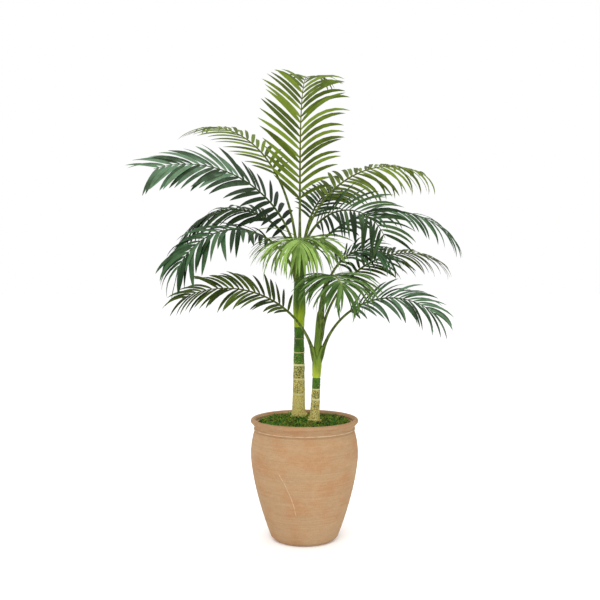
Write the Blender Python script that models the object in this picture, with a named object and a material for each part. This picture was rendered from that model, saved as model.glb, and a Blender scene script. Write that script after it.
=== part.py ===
"""Potted palm: two ringed canes with feather fronds, standing in soil and moss in a terracotta pot.

Metres, +Z up. The origin is the middle of the pot's flat base. +X is to the right and +Y is to the
back, seen from the side that the palm is meant to be looked at from.
"""

import math
from collections import namedtuple

import bmesh
import bpy
import numpy as np
from mathutils import Vector
from mathutils.bvhtree import BVHTree

GAP = 0.0003  # between pieces that touch

# The pot, a turned terracotta jar with a rolled lip.
POT_HEIGHT = 0.412
LIP_RADIUS = 0.184
LIP_WIDTH = 0.018  # of the rounded crest, whose outer face flares up from the neck
LIP_DEPTH = 0.016
NECK_RADIUS = 0.171
NECK_DROP = 0.040  # its narrowest place below the lip's top
BELLY_RADIUS = 0.1835
BELLY_DROP = 0.121  # its widest place below the lip's top
FOOT_RADIUS = 0.111
FOOT_ROUNDING = 0.014
WALL = 0.012
FLOOR = 0.018
HOLLOW_TOP = POT_HEIGHT - NECK_DROP  # where the hollow stops following the outside and runs straight up
INNER_DROP = 0.021  # where the hollow ends under the lip
POT_SIDES = 40

# What fills the pot.
FILL_DROP = 0.026  # the soil's top below the lip's top
MOSS_THICKNESS = 0.012
MOSS_CROWN = 0.010  # how far the moss is mounded in the middle

# A cane is a ringed trunk, and its crownshaft is the smooth green tube of leaf sheaths above it.
# Heights are measured from the pot's lip. The lean is how far its top stands from over its base.
Cane = namedtuple(
    "Cane",
    "name base height lean root_depth foot_radius top_radius rings "
    "shaft_length shaft_radius shaft_swell shaft_tip_radius",
)
TALL = Cane("tall", (-0.020, 0.055), 0.307, (0.002, 0.0), 0.14, 0.0228, 0.0166,
            (0.075, 0.127, 0.176, 0.219, 0.268), 0.285, 0.0175, 0.0200, 0.0080)
SHORT = Cane("short", (0.034, -0.035), 0.142, (0.006, 0.0), 0.12, 0.0165, 0.0131,
             (0.069, 0.104), 0.215, 0.0128, 0.0150, 0.0066)
RING_PROUD = 0.0012  # how far a cane's ring stands out
RING_HALF_HEIGHT = 0.0030
CANE_SIDES = 14
SWELL_SHARE = 0.26  # where a crownshaft is thickest, as a share of its length

# A frond is one leaf: a stalk, then a midrib that bears leaflets on both sides.
# root       height of its foot along the crownshaft, as a share of the crownshaft's length
# heading    compass direction that it grows in, in degrees: 0 right, 90 back, 180 left, 270 front
# rise       how steeply it sets out, in degrees above level
# bend       how far it has turned down at its tip, in degrees, and late, how late it does so
# stalk      bare length, and blade, the length that bears leaflets
# leaflet    length of its longest leaflets, and pairs, how many there are
# spread     angle between a leaflet and the midrib halfway along, in degrees
# roll       turn of the blade about its midrib, in degrees
# vee        how far the leaflets are raised above the blade's plane, in degrees
# droop      how far a leaflet's own tip hangs on the left and on the right, in degrees
# tone       which green it is
Frond = namedtuple(
    "Frond",
    "name cane root heading rise bend late stalk blade leaflet pairs spread roll vee droop tone",
)
FRONDS = [Frond(*row) for row in (
    ("frond_top", TALL, 1.00, 80, 89, 82, 3.6, 0.160, 0.520, 0.200, 20, 40, 0, 10, (14, 55), "bright"),
    ("frond_left_high", TALL, 0.92, 146, 83, 86, 1.35,
     0.280, 0.430, 0.150, 16, 45, -18, -2, (40, 45), "bright"),
    ("frond_left_long", TALL, 0.86, 198, 79, 98, 1.0,
     0.110, 0.530, 0.190, 20, 48, -35, 5, (50, 35), "dark"),
    ("frond_left_back", TALL, 0.76, 168, 82, 135, 1.0,
     0.180, 0.350, 0.165, 18, 45, -25, -5, (50, 50), "dark"),
    ("frond_left_middle", TALL, 0.62, 212, 69, 133, 1.0,
     0.170, 0.390, 0.178, 18, 45, -20, 5, (60, 60), "dark"),
    ("frond_front", TALL, 0.85, 270, 42, 70, 1.0, 0.050, 0.230, 0.180, 14, 52, 0, 0, (62, 62), "bright"),
    ("frond_right_high", TALL, 0.93, 30, 81, 98, 0.9,
     0.200, 0.480, 0.160, 20, 45, 30, -10, (50, 45), "bright"),
    ("frond_right_back", TALL, 0.80, 55, 82, 90, 1.3,
     0.160, 0.280, 0.130, 14, 45, 20, 10, (50, 50), "dark"),
    ("frond_right_upper", TALL, 0.90, 325, 74, 140, 1.1,
     0.110, 0.320, 0.175, 16, 48, 45, 10, (50, 55), "dark"),
    ("frond_right_long", TALL, 0.76, 355, 58, 108, 1.2,
     0.120, 0.490, 0.150, 20, 42, 20, -5, (50, 50), "dark"),
    ("frond_low_left", SHORT, 0.40, 184, 77, 103, 0.9,
     0.160, 0.380, 0.135, 18, 54, -35, 10, (30, 45), "middle"),
    ("frond_low_front", SHORT, 0.95, 283, 80, 122, 1.0,
     0.190, 0.175, 0.140, 14, 52, 0, 0, (60, 60), "middle"),
    ("frond_low_right", SHORT, 0.40, 345, 73, 114, 1.1,
     0.170, 0.310, 0.135, 18, 52, 30, 10, (35, 45), "dark"),
    ("frond_right_middle", SHORT, 0.70, 25, 78, 101, 1.0,
     0.230, 0.375, 0.125, 18, 45, 25, 0, (45, 50), "middle"),
    ("frond_right_inner", SHORT, 0.84, 356, 87, 130, 2.0,
     0.210, 0.190, 0.125, 14, 45, 25, 5, (45, 50), "dark"),
)]
LEAF_TONES = {
    "bright": (0.45, 0.56, 0.20),
    "middle": (0.30, 0.41, 0.19),
    "dark": (0.19, 0.29, 0.22),
}
STALK_HALF_WIDTH = 0.0048
STALK_HALF_DEPTH = 0.0042
TIP_HALF_WIDTH = 0.0013
LEAFLET_WIDTH = 0.0150
LEAFLET_THICKNESS = 0.0012
BELLY_SHARE = 0.42  # where a leaflet is widest, as a share of its length
ROOT_SHARE = 0.5  # how much of the space between two leaflets a leaflet's root takes
STALK_STEP = 0.030  # length of a stalk's straight runs
STEPS = 48  # into which a midrib's curve is cut when it is summed up
LEAFLET_CLEARANCE = 0.0010  # kept from the leaflets of other fronds
# Degrees that a leaflet may be raised to clear others, in the order tried.
LIFTS = (0, 7, -7, 14, -14, 21, -21, 28, -28, 35, -35, 45, -45, 55, -55)


def unit(vector):
    """The vector at length one."""
    return vector / np.linalg.norm(vector)


def turned(vector, axis, degrees):
    """The vector turned about a unit axis, by the right-hand rule."""
    angle = math.radians(degrees)
    along = axis * np.dot(axis, vector)
    return along + (vector - along) * math.cos(angle) + np.cross(axis, vector) * math.sin(angle)


def cane_axis(cane, above):
    """A point on the axis of a cane or its crownshaft, at a height above the pot's lip."""
    rise = above / cane.height
    return np.array([
        cane.base[0] + cane.lean[0] * rise,
        cane.base[1] + cane.lean[1] * rise,
        POT_HEIGHT + above,
    ])


def shaft_radius(cane, share):
    """Radius of a cane's crownshaft at a share of its length: a swollen foot, then a slow taper."""
    if share < SWELL_SHARE:
        part = math.sin(share / SWELL_SHARE * math.pi / 2)
        return cane.shaft_radius + (cane.shaft_swell - cane.shaft_radius) * part
    part = (share - SWELL_SHARE) / (1 - SWELL_SHARE)
    return cane.shaft_swell + (cane.shaft_tip_radius - cane.shaft_swell) * part**1.3


def foot_place(frond):
    """Where a frond's stalk starts: just inside the crownshaft's skin, on the side it grows to."""
    share = frond.root
    compass = math.radians(frond.heading)
    out = 0.0 if share >= 1 else shaft_radius(frond.cane, share) + STALK_HALF_DEPTH / 2
    axis = cane_axis(frond.cane, frond.cane.height + share * frond.cane.shaft_length)
    sunk = -STALK_HALF_DEPTH if share >= 1 else 0.0
    return axis + np.array([math.cos(compass) * out, math.sin(compass) * out, sunk])


class Midrib:
    """The curve of a frond's stalk and midrib, read at any share of its length."""

    def __init__(self, frond):
        self.frond = frond
        self.length = frond.stalk + frond.blade
        points = [foot_place(frond)]
        for step in range(STEPS):
            points.append(points[-1] + self.direction((step + 0.5) / STEPS) * self.length / STEPS)
        self.points = np.array(points)

    def direction(self, share):
        """The way the midrib runs at a share of its length."""
        frond = self.frond
        climb = math.radians(frond.rise - frond.bend * share**frond.late)
        compass = math.radians(frond.heading)
        return np.array([
            math.cos(climb) * math.cos(compass),
            math.cos(climb) * math.sin(compass),
            math.sin(climb),
        ])

    def frame(self, share):
        """(point, tangent, side, normal) at a share of the length. Side points left of the tangent."""
        place = share * STEPS
        low = min(int(place), STEPS - 1)
        part = place - low
        point = self.points[low] * (1 - part) + self.points[low + 1] * part
        tangent = self.direction(share)
        compass = math.radians(self.frond.heading)
        level = np.array([-math.sin(compass), math.cos(compass), 0.0])
        side = turned(level, tangent, self.frond.roll)
        return point, tangent, side, np.cross(tangent, side)


def leaflet_scale(share):
    """Length of a leaflet at a share of the blade, as a share of the longest."""
    return float(np.interp(share, [0, 0.12, 0.35, 0.6, 0.85, 1.0], [0.62, 0.86, 1.0, 0.95, 0.82, 0.64]))


def leaflet_angle(frond, share):
    """Degrees between a leaflet and the midrib's tangent at a share of the blade."""
    return frond.spread * float(np.interp(share, [0, 0.3, 0.7, 1.0], [1.25, 1.08, 0.85, 0.42]))


def leaflet_path(frond, midrib, share, hand, lift=0, count=6):
    """Points along a leaflet's middle, from its root. hand is 1 on the left and -1 on the right."""
    whole = (frond.stalk + share * frond.blade) / midrib.length
    point, tangent, side, normal = midrib.frame(whole)
    spread = math.radians(leaflet_angle(frond, share))
    vee = math.radians(frond.vee + lift)
    outward = side * hand * math.cos(vee) + normal * math.sin(vee)
    heading = tangent * math.cos(spread) + outward * math.sin(spread)
    length = frond.leaflet * leaflet_scale(share)
    points = [point]
    down = np.array([0.0, 0.0, -1.0])
    droop = frond.droop[0] if hand > 0 else frond.droop[1]
    for step in range(count):
        part = (step + 0.5) / count
        axis = np.cross(heading, down)
        lean = np.linalg.norm(axis)
        way = heading
        if lean > 1e-3:
            way = turned(heading, axis / lean, droop * part * min(1.0, lean * 1.2))
        points.append(points[-1] + way * length / count)
    return np.array(points)


def material(name, colour, roughness):
    """A plain finish, from its colour in display values."""
    made = bpy.data.materials.new(name)
    made.use_nodes = True
    shader = made.node_tree.nodes["Principled BSDF"]
    linear = [((part + 0.055) / 1.055) ** 2.4 for part in colour]
    shader.inputs["Base Color"].default_value = (*linear, 1)
    shader.inputs["Roughness"].default_value = roughness
    shader.inputs["Metallic"].default_value = 0
    return made


def new_object(name, bm, finish):
    """An object of its own from a bmesh, with its faces pointing out and its round parts smooth."""
    bmesh.ops.recalc_face_normals(bm, faces=bm.faces)
    mesh = bpy.data.meshes.new(name)
    bm.to_mesh(mesh)
    bm.free()
    made = bpy.data.objects.new(name, mesh)
    bpy.context.collection.objects.link(made)
    mesh.shade_smooth()
    mesh.set_sharp_from_angle(angle=math.radians(40))
    if finish:
        mesh.materials.append(finish)
    return made


def lathe(profile, sides, shift=None):
    """A closed bmesh turned about Z from (radius, height) points. shift moves each height sideways."""
    bm = bmesh.new()
    verts = [bm.verts.new((radius, 0, height)) for radius, height in profile]
    edges = [bm.edges.new(pair) for pair in zip(verts, verts[1:])]
    bmesh.ops.spin(bm, geom=verts + edges, axis=(0, 0, 1), cent=(0, 0, 0), steps=sides,
                   angle=math.tau, use_merge=True)
    bmesh.ops.remove_doubles(bm, verts=bm.verts, dist=1e-6)
    if shift:
        for vert in bm.verts:
            vert.co.xy += Vector(shift(vert.co.z))
    return bm


def cut(piece, cutters):
    """Cut each cutter's shape out of a piece."""
    for cutter in cutters:
        cutter.hide_render = True
        cutter.display_type = "WIRE"
        modifier = piece.modifiers.new("cut_" + cutter.name, "BOOLEAN")
        modifier.operation = "DIFFERENCE"
        modifier.solver = "EXACT"
        modifier.object = cutter


# The pot and what fills it.


def pot_radius(height):
    """The pot's outer radius from its foot to its neck, at a height above its base."""
    belly = POT_HEIGHT - BELLY_DROP
    if height < belly:
        return BELLY_RADIUS - (BELLY_RADIUS - FOOT_RADIUS) * ((belly - height) / belly) ** 1.55
    part = (height - belly) / (BELLY_DROP - NECK_DROP)
    return BELLY_RADIUS - (BELLY_RADIUS - NECK_RADIUS) * min(part, 1.0) ** 2


def inner_radius(height):
    """The radius of the pot's hollow at a height above its base."""
    return pot_radius(height) - WALL


def heights(low, high, count):
    """Evenly spaced heights, both ends included."""
    return [low + (high - low) * step / (count - 1) for step in range(count)]


def hollow(inset, top):
    """The outline of the pot's hollow up to a height, drawn in by inset on every side."""
    outline = [(inner_radius(height) - inset, height) for height in heights(FLOOR, HOLLOW_TOP, 8)]
    outline[0] = (outline[0][0], FLOOR + inset)
    return outline + [(outline[-1][0], top)] if top > HOLLOW_TOP else outline


def make_pot(finish):
    """The turned jar: flat base, rounded foot, belly, neck and flared lip, with an even wall."""
    neck = POT_HEIGHT - NECK_DROP
    foot = FOOT_RADIUS - FOOT_ROUNDING
    profile = [(0, 0), (foot, 0)]
    for angle in (30, 60):
        turn = math.radians(angle)
        profile.append((foot + FOOT_ROUNDING * math.sin(turn), FOOT_ROUNDING * (1 - math.cos(turn))))
    profile += [(pot_radius(height), height) for height in heights(FOOT_ROUNDING, neck, 11)]
    centre = LIP_RADIUS - LIP_WIDTH / 2
    middle = POT_HEIGHT - LIP_DEPTH / 2
    for angle in range(-30, 211, 40):
        turn = math.radians(angle)
        profile.append((
            centre + LIP_WIDTH / 2 * math.cos(turn),
            middle + LIP_DEPTH / 2 * math.sin(turn),
        ))
    profile += reversed(hollow(0, POT_HEIGHT - INNER_DROP))
    profile.append((0, FLOOR))
    return new_object("pot", lathe(profile, POT_SIDES), finish)


def make_soil(finish, sockets):
    """The soil, which fills the hollow and is cut out for the canes' feet."""
    top = POT_HEIGHT - FILL_DROP
    profile = [(0, FLOOR + GAP), *hollow(GAP, top), (0, top)]
    soil = new_object("soil", lathe(profile, POT_SIDES), finish)
    cut(soil, sockets)
    return soil


def make_moss(finish, sockets):
    """The layer of moss on the soil, mounded towards the middle."""
    low = POT_HEIGHT - FILL_DROP + GAP
    edge = inner_radius(low) - 2 * GAP
    profile = [(0, low), (edge, low)]
    for step in range(5):
        part = step / 4
        height = low + MOSS_THICKNESS + MOSS_CROWN * math.sin(part * math.pi / 2)
        profile.append(((edge - 0.006) * (1 - part), height))
    moss = new_object("moss", lathe(profile, POT_SIDES), finish)
    cut(moss, sockets)
    return moss


# The canes and crownshafts.


def cane_profile(cane, extra):
    """A cane's outline from its foot in the soil to its top, with its rings. extra grows it."""
    def radius(above):
        part = min(max(above / cane.height, 0.0), 1.0)
        return cane.foot_radius + (cane.top_radius - cane.foot_radius) * part + extra

    profile = [(0, -cane.root_depth - extra), (radius(0), -cane.root_depth - extra)]
    marks = [-FILL_DROP, 0.0, *cane.rings, cane.height]
    for below, mark in zip(marks, marks[1:]):
        profile.append((radius(mark) if mark <= 0 else radius((below + mark) / 2), (below + mark) / 2))
        if mark in cane.rings:
            profile.append((radius(mark), mark - RING_HALF_HEIGHT))
            profile.append((radius(mark) + RING_PROUD, mark))
            profile.append((radius(mark), mark + RING_HALF_HEIGHT))
    profile += [(radius(cane.height), cane.height), (0, cane.height)]
    return [(across, POT_HEIGHT + above) for across, above in profile]


def make_cane(cane, finish, extra=0.0, name=None):
    """A cane, or with extra the same shape grown by that much, to cut its socket."""
    def shift(height):
        return cane_axis(cane, height - POT_HEIGHT)[:2]

    bm = lathe(cane_profile(cane, extra), CANE_SIDES, shift)
    return new_object(name or cane.name + "_cane", bm, finish)


def make_crownshaft(cane, finish, extra=0.0, name=None):
    """A crownshaft, or with extra the same shape grown by that much, to trim the fronds' feet."""
    def shift(height):
        return cane_axis(cane, height - POT_HEIGHT)[:2]

    low = POT_HEIGHT + cane.height + GAP - extra
    high = POT_HEIGHT + cane.height + cane.shaft_length + extra
    shares = [step / 8 for step in range(9)]
    profile = [(0, low)]
    profile += [(shaft_radius(cane, share) + extra, low + (high - low) * share) for share in shares]
    profile.append((0, high))
    return new_object(name or cane.name + "_crownshaft", lathe(profile, CANE_SIDES, shift), finish)


# The fronds.


def section(midrib, share, half_width, half_depth):
    """Four corners of a midrib's section: left low, left high, right high, right low."""
    point, _, side, normal = midrib.frame(share)
    return [
        Vector(point + side * across * half_width + normal * up * half_depth)
        for across, up in ((1, -1), (1, 1), (-1, 1), (-1, -1))
    ]


def extrude_to(bm, face, corners):
    """Extrude a face so that its corners land on the given places. Returns the new end face."""
    end = bmesh.ops.extrude_discrete_faces(bm, faces=[face])["faces"][0]
    for loop, corner in zip(end.loops, corners):
        loop.vert.co = corner
    return end


def leaflet_places(frond, midrib, share, hand, lift):
    """(belly, tip, across, up): a leaflet's widest place and tip, and its width and thickness ways."""
    path = leaflet_path(frond, midrib, share, hand, lift)
    low = int(BELLY_SHARE * (len(path) - 1))
    part = BELLY_SHARE * (len(path) - 1) - low
    belly = path[low] * (1 - part) + path[low + 1] * part
    whole = (frond.stalk + share * frond.blade) / midrib.length
    tangent = midrib.direction(whole)
    run = unit(path[-1] - path[0])
    up = unit(np.cross(tangent, run)) * hand
    across = np.cross(run, up) * hand
    return belly, path[-1], across * np.sign(np.dot(across, tangent)), up


def leaflet_corners(face, tangent, normal, places, extra=0.0):
    """Where the corners of a leaflet's root face go at its belly. extra grows the leaflet there."""
    belly, _, across, up = places
    centre = np.array(face.calc_center_median())
    corners = []
    for loop in face.loops:
        offset = np.array(loop.vert.co) - centre
        along = np.sign(np.dot(offset, tangent))
        high = np.sign(np.dot(offset, normal))
        corners.append(Vector(
            belly
            + across * along * (LEAFLET_WIDTH / 2 + extra)
            + up * high * (LEAFLET_THICKNESS / 2 + extra)
        ))
    return corners


def touches(root, corners, tip, trees):
    """Whether a leaflet with these corners would cut one of the shapes in the trees."""
    start = sum(root, Vector()) / 4
    near = [start.lerp(corner, 0.04) for corner in corners]
    points = near + corners + [Vector(tip)]
    faces = [(step, (step + 1) % 4, (step + 1) % 4 + 4, step + 4) for step in range(4)]
    faces += [(step + 4, (step + 1) % 4 + 4, 8) for step in range(4)]
    shape = BVHTree.FromPolygons(points, faces)
    return any(shape.overlap(tree) for tree in trees)


def add_leaflet(bm, frond, midrib, face, share, hand, trees):
    """Grow a leaflet out of a side face of the midrib, lifted or lowered until it clears the rest."""
    whole = (frond.stalk + share * frond.blade) / midrib.length
    _, tangent, _, normal = midrib.frame(whole)
    root = [loop.vert.co.copy() for loop in face.loops]
    choices = [leaflet_places(frond, midrib, share, hand, lift) for lift in LIFTS]
    chosen = choices[0]
    for places in choices:
        grown = leaflet_corners(face, tangent, normal, places, LEAFLET_CLEARANCE)
        if not touches(root, grown, places[1], trees):
            chosen = places
            break
    belly = extrude_to(bm, face, leaflet_corners(face, tangent, normal, chosen))
    tip = bmesh.ops.poke(bm, faces=[belly])["verts"][0]
    tip.co = Vector(chosen[1])


def make_frond(frond, finish, cutter, trees):
    """A frond: its stalk and midrib swept from its foot to its tip, with a leaflet from each side."""
    midrib = Midrib(frond)
    bm = bmesh.new()
    first = section(midrib, 0.0, STALK_HALF_WIDTH, STALK_HALF_DEPTH)
    end = bm.faces.new([bm.verts.new(corner) for corner in first])
    stalk_steps = round(frond.stalk / STALK_STEP)
    pitch = frond.blade / frond.pairs
    stations = [(frond.stalk * (step + 1) / stalk_steps, False) for step in range(stalk_steps)]
    for pair in range(frond.pairs):
        start = frond.stalk + pitch * pair
        stations += [(start + pitch * ROOT_SHARE, True), (start + pitch, False)]
    sides = []
    for station, bears in stations:
        share = station / midrib.length
        thin = max(0.0, (station - frond.stalk) / frond.blade)
        half_width = STALK_HALF_WIDTH + (TIP_HALF_WIDTH - STALK_HALF_WIDTH) * thin
        half_depth = STALK_HALF_DEPTH + (TIP_HALF_WIDTH - STALK_HALF_DEPTH) * thin
        end = extrude_to(bm, end, section(midrib, share, half_width, half_depth))
        if bears:
            loops = end.loops
            sides.append((loops[0].link_loop_radial_next.face, loops[2].link_loop_radial_next.face))
    tip = bmesh.ops.poke(bm, faces=[end])["verts"][0]
    tip.co = Vector(midrib.points[-1] + midrib.direction(1.0) * 4 * TIP_HALF_WIDTH)
    for pair, (left, right) in enumerate(sides):
        share = (pair + ROOT_SHARE / 2) / frond.pairs
        add_leaflet(bm, frond, midrib, left, share, 1, trees)
        add_leaflet(bm, frond, midrib, right, share, -1, trees)
    bmesh.ops.holes_fill(bm, edges=[edge for edge in bm.edges if edge.is_boundary], sides=4)
    trees.append(BVHTree.FromBMesh(bm))
    made = new_object(frond.name, bm, finish)
    cut(made, [cutter])
    return made


def shape_tree(piece):
    """A search tree of a piece's faces, in world space."""
    bm = bmesh.new()
    bm.from_mesh(piece.data)
    tree = BVHTree.FromBMesh(bm)
    bm.free()
    return tree


def main():
    """Clear the scene and build the palm from the pot up."""
    for old in list(bpy.data.objects):
        bpy.data.objects.remove(old, do_unlink=True)
    cane_finish = material("cane", (0.60, 0.57, 0.36), 0.6)
    shaft_finish = material("crownshaft", (0.42, 0.50, 0.14), 0.45)
    leaf_finishes = {tone: material("leaf_" + tone, colour, 0.5) for tone, colour in LEAF_TONES.items()}
    canes = (TALL, SHORT)
    sockets = [make_cane(cane, None, GAP, cane.name + "_socket") for cane in canes]
    make_pot(material("terracotta", (0.76, 0.62, 0.48), 0.85))
    make_soil(material("soil", (0.20, 0.15, 0.11), 0.95), sockets)
    make_moss(material("moss", (0.29, 0.36, 0.13), 0.95), sockets)
    trees = []
    cutters = {}
    for cane in canes:
        trees.append(shape_tree(make_cane(cane, cane_finish)))
        trees.append(shape_tree(make_crownshaft(cane, shaft_finish)))
        cutters[cane.name] = make_crownshaft(cane, None, GAP, cane.name + "_trim")
    for frond in FRONDS:
        make_frond(frond, leaf_finishes[frond.tone], cutters[frond.cane.name], trees)


main()
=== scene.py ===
"""Looks of the potted palm: two ringed canes with feather fronds in a terracotta pot.

Metres, +Z up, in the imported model's own frame. Each class below makes one kind of piece around the
node that it stands for, and main() builds them from the pot up.
"""

from __future__ import annotations

import logging
import math
import random
from dataclasses import dataclass, field
from enum import Enum
from typing import Any, Callable, Sequence

import bpy
import numpy as np
from mathutils import Matrix, Vector, noise

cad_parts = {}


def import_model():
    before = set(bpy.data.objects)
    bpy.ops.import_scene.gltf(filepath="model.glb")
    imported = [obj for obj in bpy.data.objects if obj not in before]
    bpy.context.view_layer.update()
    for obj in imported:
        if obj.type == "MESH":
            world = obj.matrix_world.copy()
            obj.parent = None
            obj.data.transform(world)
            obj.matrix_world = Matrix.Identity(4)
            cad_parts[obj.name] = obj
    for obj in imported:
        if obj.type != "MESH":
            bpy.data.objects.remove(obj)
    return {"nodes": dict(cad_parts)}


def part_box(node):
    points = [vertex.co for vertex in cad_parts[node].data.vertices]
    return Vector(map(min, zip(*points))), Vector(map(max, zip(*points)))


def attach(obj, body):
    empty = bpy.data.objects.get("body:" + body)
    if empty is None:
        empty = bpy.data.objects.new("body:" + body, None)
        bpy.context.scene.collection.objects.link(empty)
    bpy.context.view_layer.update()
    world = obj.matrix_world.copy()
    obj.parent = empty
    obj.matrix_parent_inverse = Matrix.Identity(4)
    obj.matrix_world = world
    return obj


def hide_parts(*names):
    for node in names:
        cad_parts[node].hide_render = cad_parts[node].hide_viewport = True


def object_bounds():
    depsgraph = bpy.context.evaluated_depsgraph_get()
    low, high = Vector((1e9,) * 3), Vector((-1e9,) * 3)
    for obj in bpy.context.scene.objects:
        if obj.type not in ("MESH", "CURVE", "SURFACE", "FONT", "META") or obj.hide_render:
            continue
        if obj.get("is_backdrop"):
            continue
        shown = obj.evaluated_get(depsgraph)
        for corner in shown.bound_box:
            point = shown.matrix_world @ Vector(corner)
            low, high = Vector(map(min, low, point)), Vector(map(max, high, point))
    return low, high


LOG = logging.getLogger("palm")
BODY = "root"
Colour = tuple[float, float, float]
Profile = list[tuple[float, float]]


# Shader wiring.


class Wire:
    """A shader socket that takes part in arithmetic, so that shader maths reads as Python."""

    def __init__(self, paint: Paint, socket: bpy.types.NodeSocket) -> None:
        """Keep the socket and the paint that it belongs to."""
        self.paint = paint
        self.socket = socket

    def _math(self, operation: str, first: Any, second: Any) -> Wire:
        """Add one Math node over two values or wires."""
        return self.paint.node("Math", {"operation": operation}, {0: first, 1: second})

    def __add__(self, other: Any) -> Wire:
        """self + other."""
        return self._math("ADD", self, other)

    def __sub__(self, other: Any) -> Wire:
        """self - other."""
        return self._math("SUBTRACT", self, other)

    def __mul__(self, other: Any) -> Wire:
        """self * other."""
        return self._math("MULTIPLY", self, other)

    def __rsub__(self, other: Any) -> Wire:
        """other - self."""
        return self._math("SUBTRACT", other, self)

    def __abs__(self) -> Wire:
        """The size of self without its sign."""
        return self._math("ABSOLUTE", self, 0.0)

    __radd__ = __add__
    __rmul__ = __mul__


class Paint:
    """A material under construction: it adds nodes and wires them to the Principled shader."""

    def __init__(self, name: str) -> None:
        """Start a material with a Principled shader.

        Args:
            name: The material's name.
        """
        self.material = bpy.data.materials.new(name)
        self.material.use_nodes = True
        self.tree = self.material.node_tree
        self.shader = self.tree.nodes["Principled BSDF"]

    def node(
        self,
        kind: str,
        settings: dict[str, Any] | None = None,
        inputs: dict[int | str, Any] | None = None,
        output: int | str = 0,
    ) -> Wire:
        """Add a node, set it up, then fill its sockets.

        Args:
            kind: The node's type without its ShaderNode prefix.
            settings: Properties to set first.
            inputs: Values or wires by socket index or name.
            output: The output socket to return.

        Returns:
            The output, ready for arithmetic.
        """
        made = self.tree.nodes.new("ShaderNode" + kind)
        for key, value in (settings or {}).items():
            setattr(made, key, value)
        for key, value in (inputs or {}).items():
            self.plug(made.inputs[key], value)
        return Wire(self, made.outputs[output])

    def plug(self, socket: bpy.types.NodeSocket, value: Any) -> None:
        """Link a wire to a socket, or set the socket to a plain value.

        Args:
            socket: The input socket.
            value: A wire, a number or a colour.
        """
        if isinstance(value, Wire):
            self.tree.links.new(value.socket, socket)
        elif isinstance(value, tuple) and len(value) == 3 and len(socket.default_value) == 4:
            socket.default_value = (*value, 1.0)
        else:
            socket.default_value = value

    def place(self, scale: tuple[float, float, float] = (1, 1, 1)) -> Wire:
        """The point on the object, in metres, with each axis scaled."""
        where = self.node("TexCoord", output="Object")
        return self.node("Mapping", {"vector_type": "POINT"}, {"Vector": where, "Scale": scale})

    def axis(self, name: str) -> Wire:
        """X, Y or Z of the point on the object, in metres."""
        return self.node("SeparateXYZ", None, {0: self.node("TexCoord", output="Object")}, name)

    def attribute(self, name: str) -> Wire:
        """A number kept on the mesh under a name."""
        return self.node("Attribute", {"attribute_name": name}, None, "Fac")

    def uv(self, name: str, axis: str) -> Wire:
        """One axis, X or Y, of a named UV map."""
        return self.node("SeparateXYZ", None, {0: self.node("UVMap", {"uv_map": name})}, axis)

    def cloud(self, scale: float, vector: Wire | None = None, detail: float = 3.0) -> Wire:
        """Soft noise from 0 to 1, over the object unless a vector is given."""
        inputs = {"Vector": vector or self.place(), "Scale": scale, "Detail": detail}
        return self.node("TexNoise", None, inputs)

    def step(self, value: Wire, low: float, high: float) -> Wire:
        """A smooth step from 0 at low to 1 at high."""
        inputs = {"Value": value, "From Min": low, "From Max": high}
        return self.node("MapRange", {"interpolation_type": "SMOOTHSTEP"}, inputs)

    def mix(self, factor: Wire | float, first: Wire | Colour, second: Wire | Colour) -> Wire:
        """Mix two colours: the first where the factor is 0, the second where it is 1."""
        settings = {"data_type": "RGBA", "clamp_factor": True}
        return self.node("Mix", settings, {0: factor, 6: first, 7: second}, 2)

    def shade(self, colour: Wire, amount: Wire) -> Wire:
        """A colour made darker or lighter by a number near 1."""
        grey = self.node("CombineXYZ", None, {0: amount, 1: amount, 2: amount})
        return self.node("VectorMath", {"operation": "MULTIPLY"}, {0: colour, 1: grey})

    def finish(
        self,
        colour: Wire,
        roughness: Wire | float,
        relief: Wire | None = None,
        depth: float = 0.001,
        strength: float = 0.5,
        specular: float = 0.5,
    ) -> bpy.types.Material:
        """Wire the finish to the shader.

        Args:
            colour: The surface colour.
            roughness: How matt it is.
            relief: The height that the bump is read from.
            depth: The height of that relief, in metres.
            strength: How strongly the bump shows.
            specular: How bright its gloss is.

        Returns:
            The finished material.
        """
        self.plug(self.shader.inputs["Base Color"], colour)
        self.plug(self.shader.inputs["Roughness"], roughness)
        self.shader.inputs["Specular IOR Level"].default_value = specular
        if relief is not None:
            bump = self.node("Bump", None, {"Strength": strength, "Distance": depth, "Height": relief})
            self.plug(self.shader.inputs["Normal"], bump)
        return self.material


# Finishes.


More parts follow.
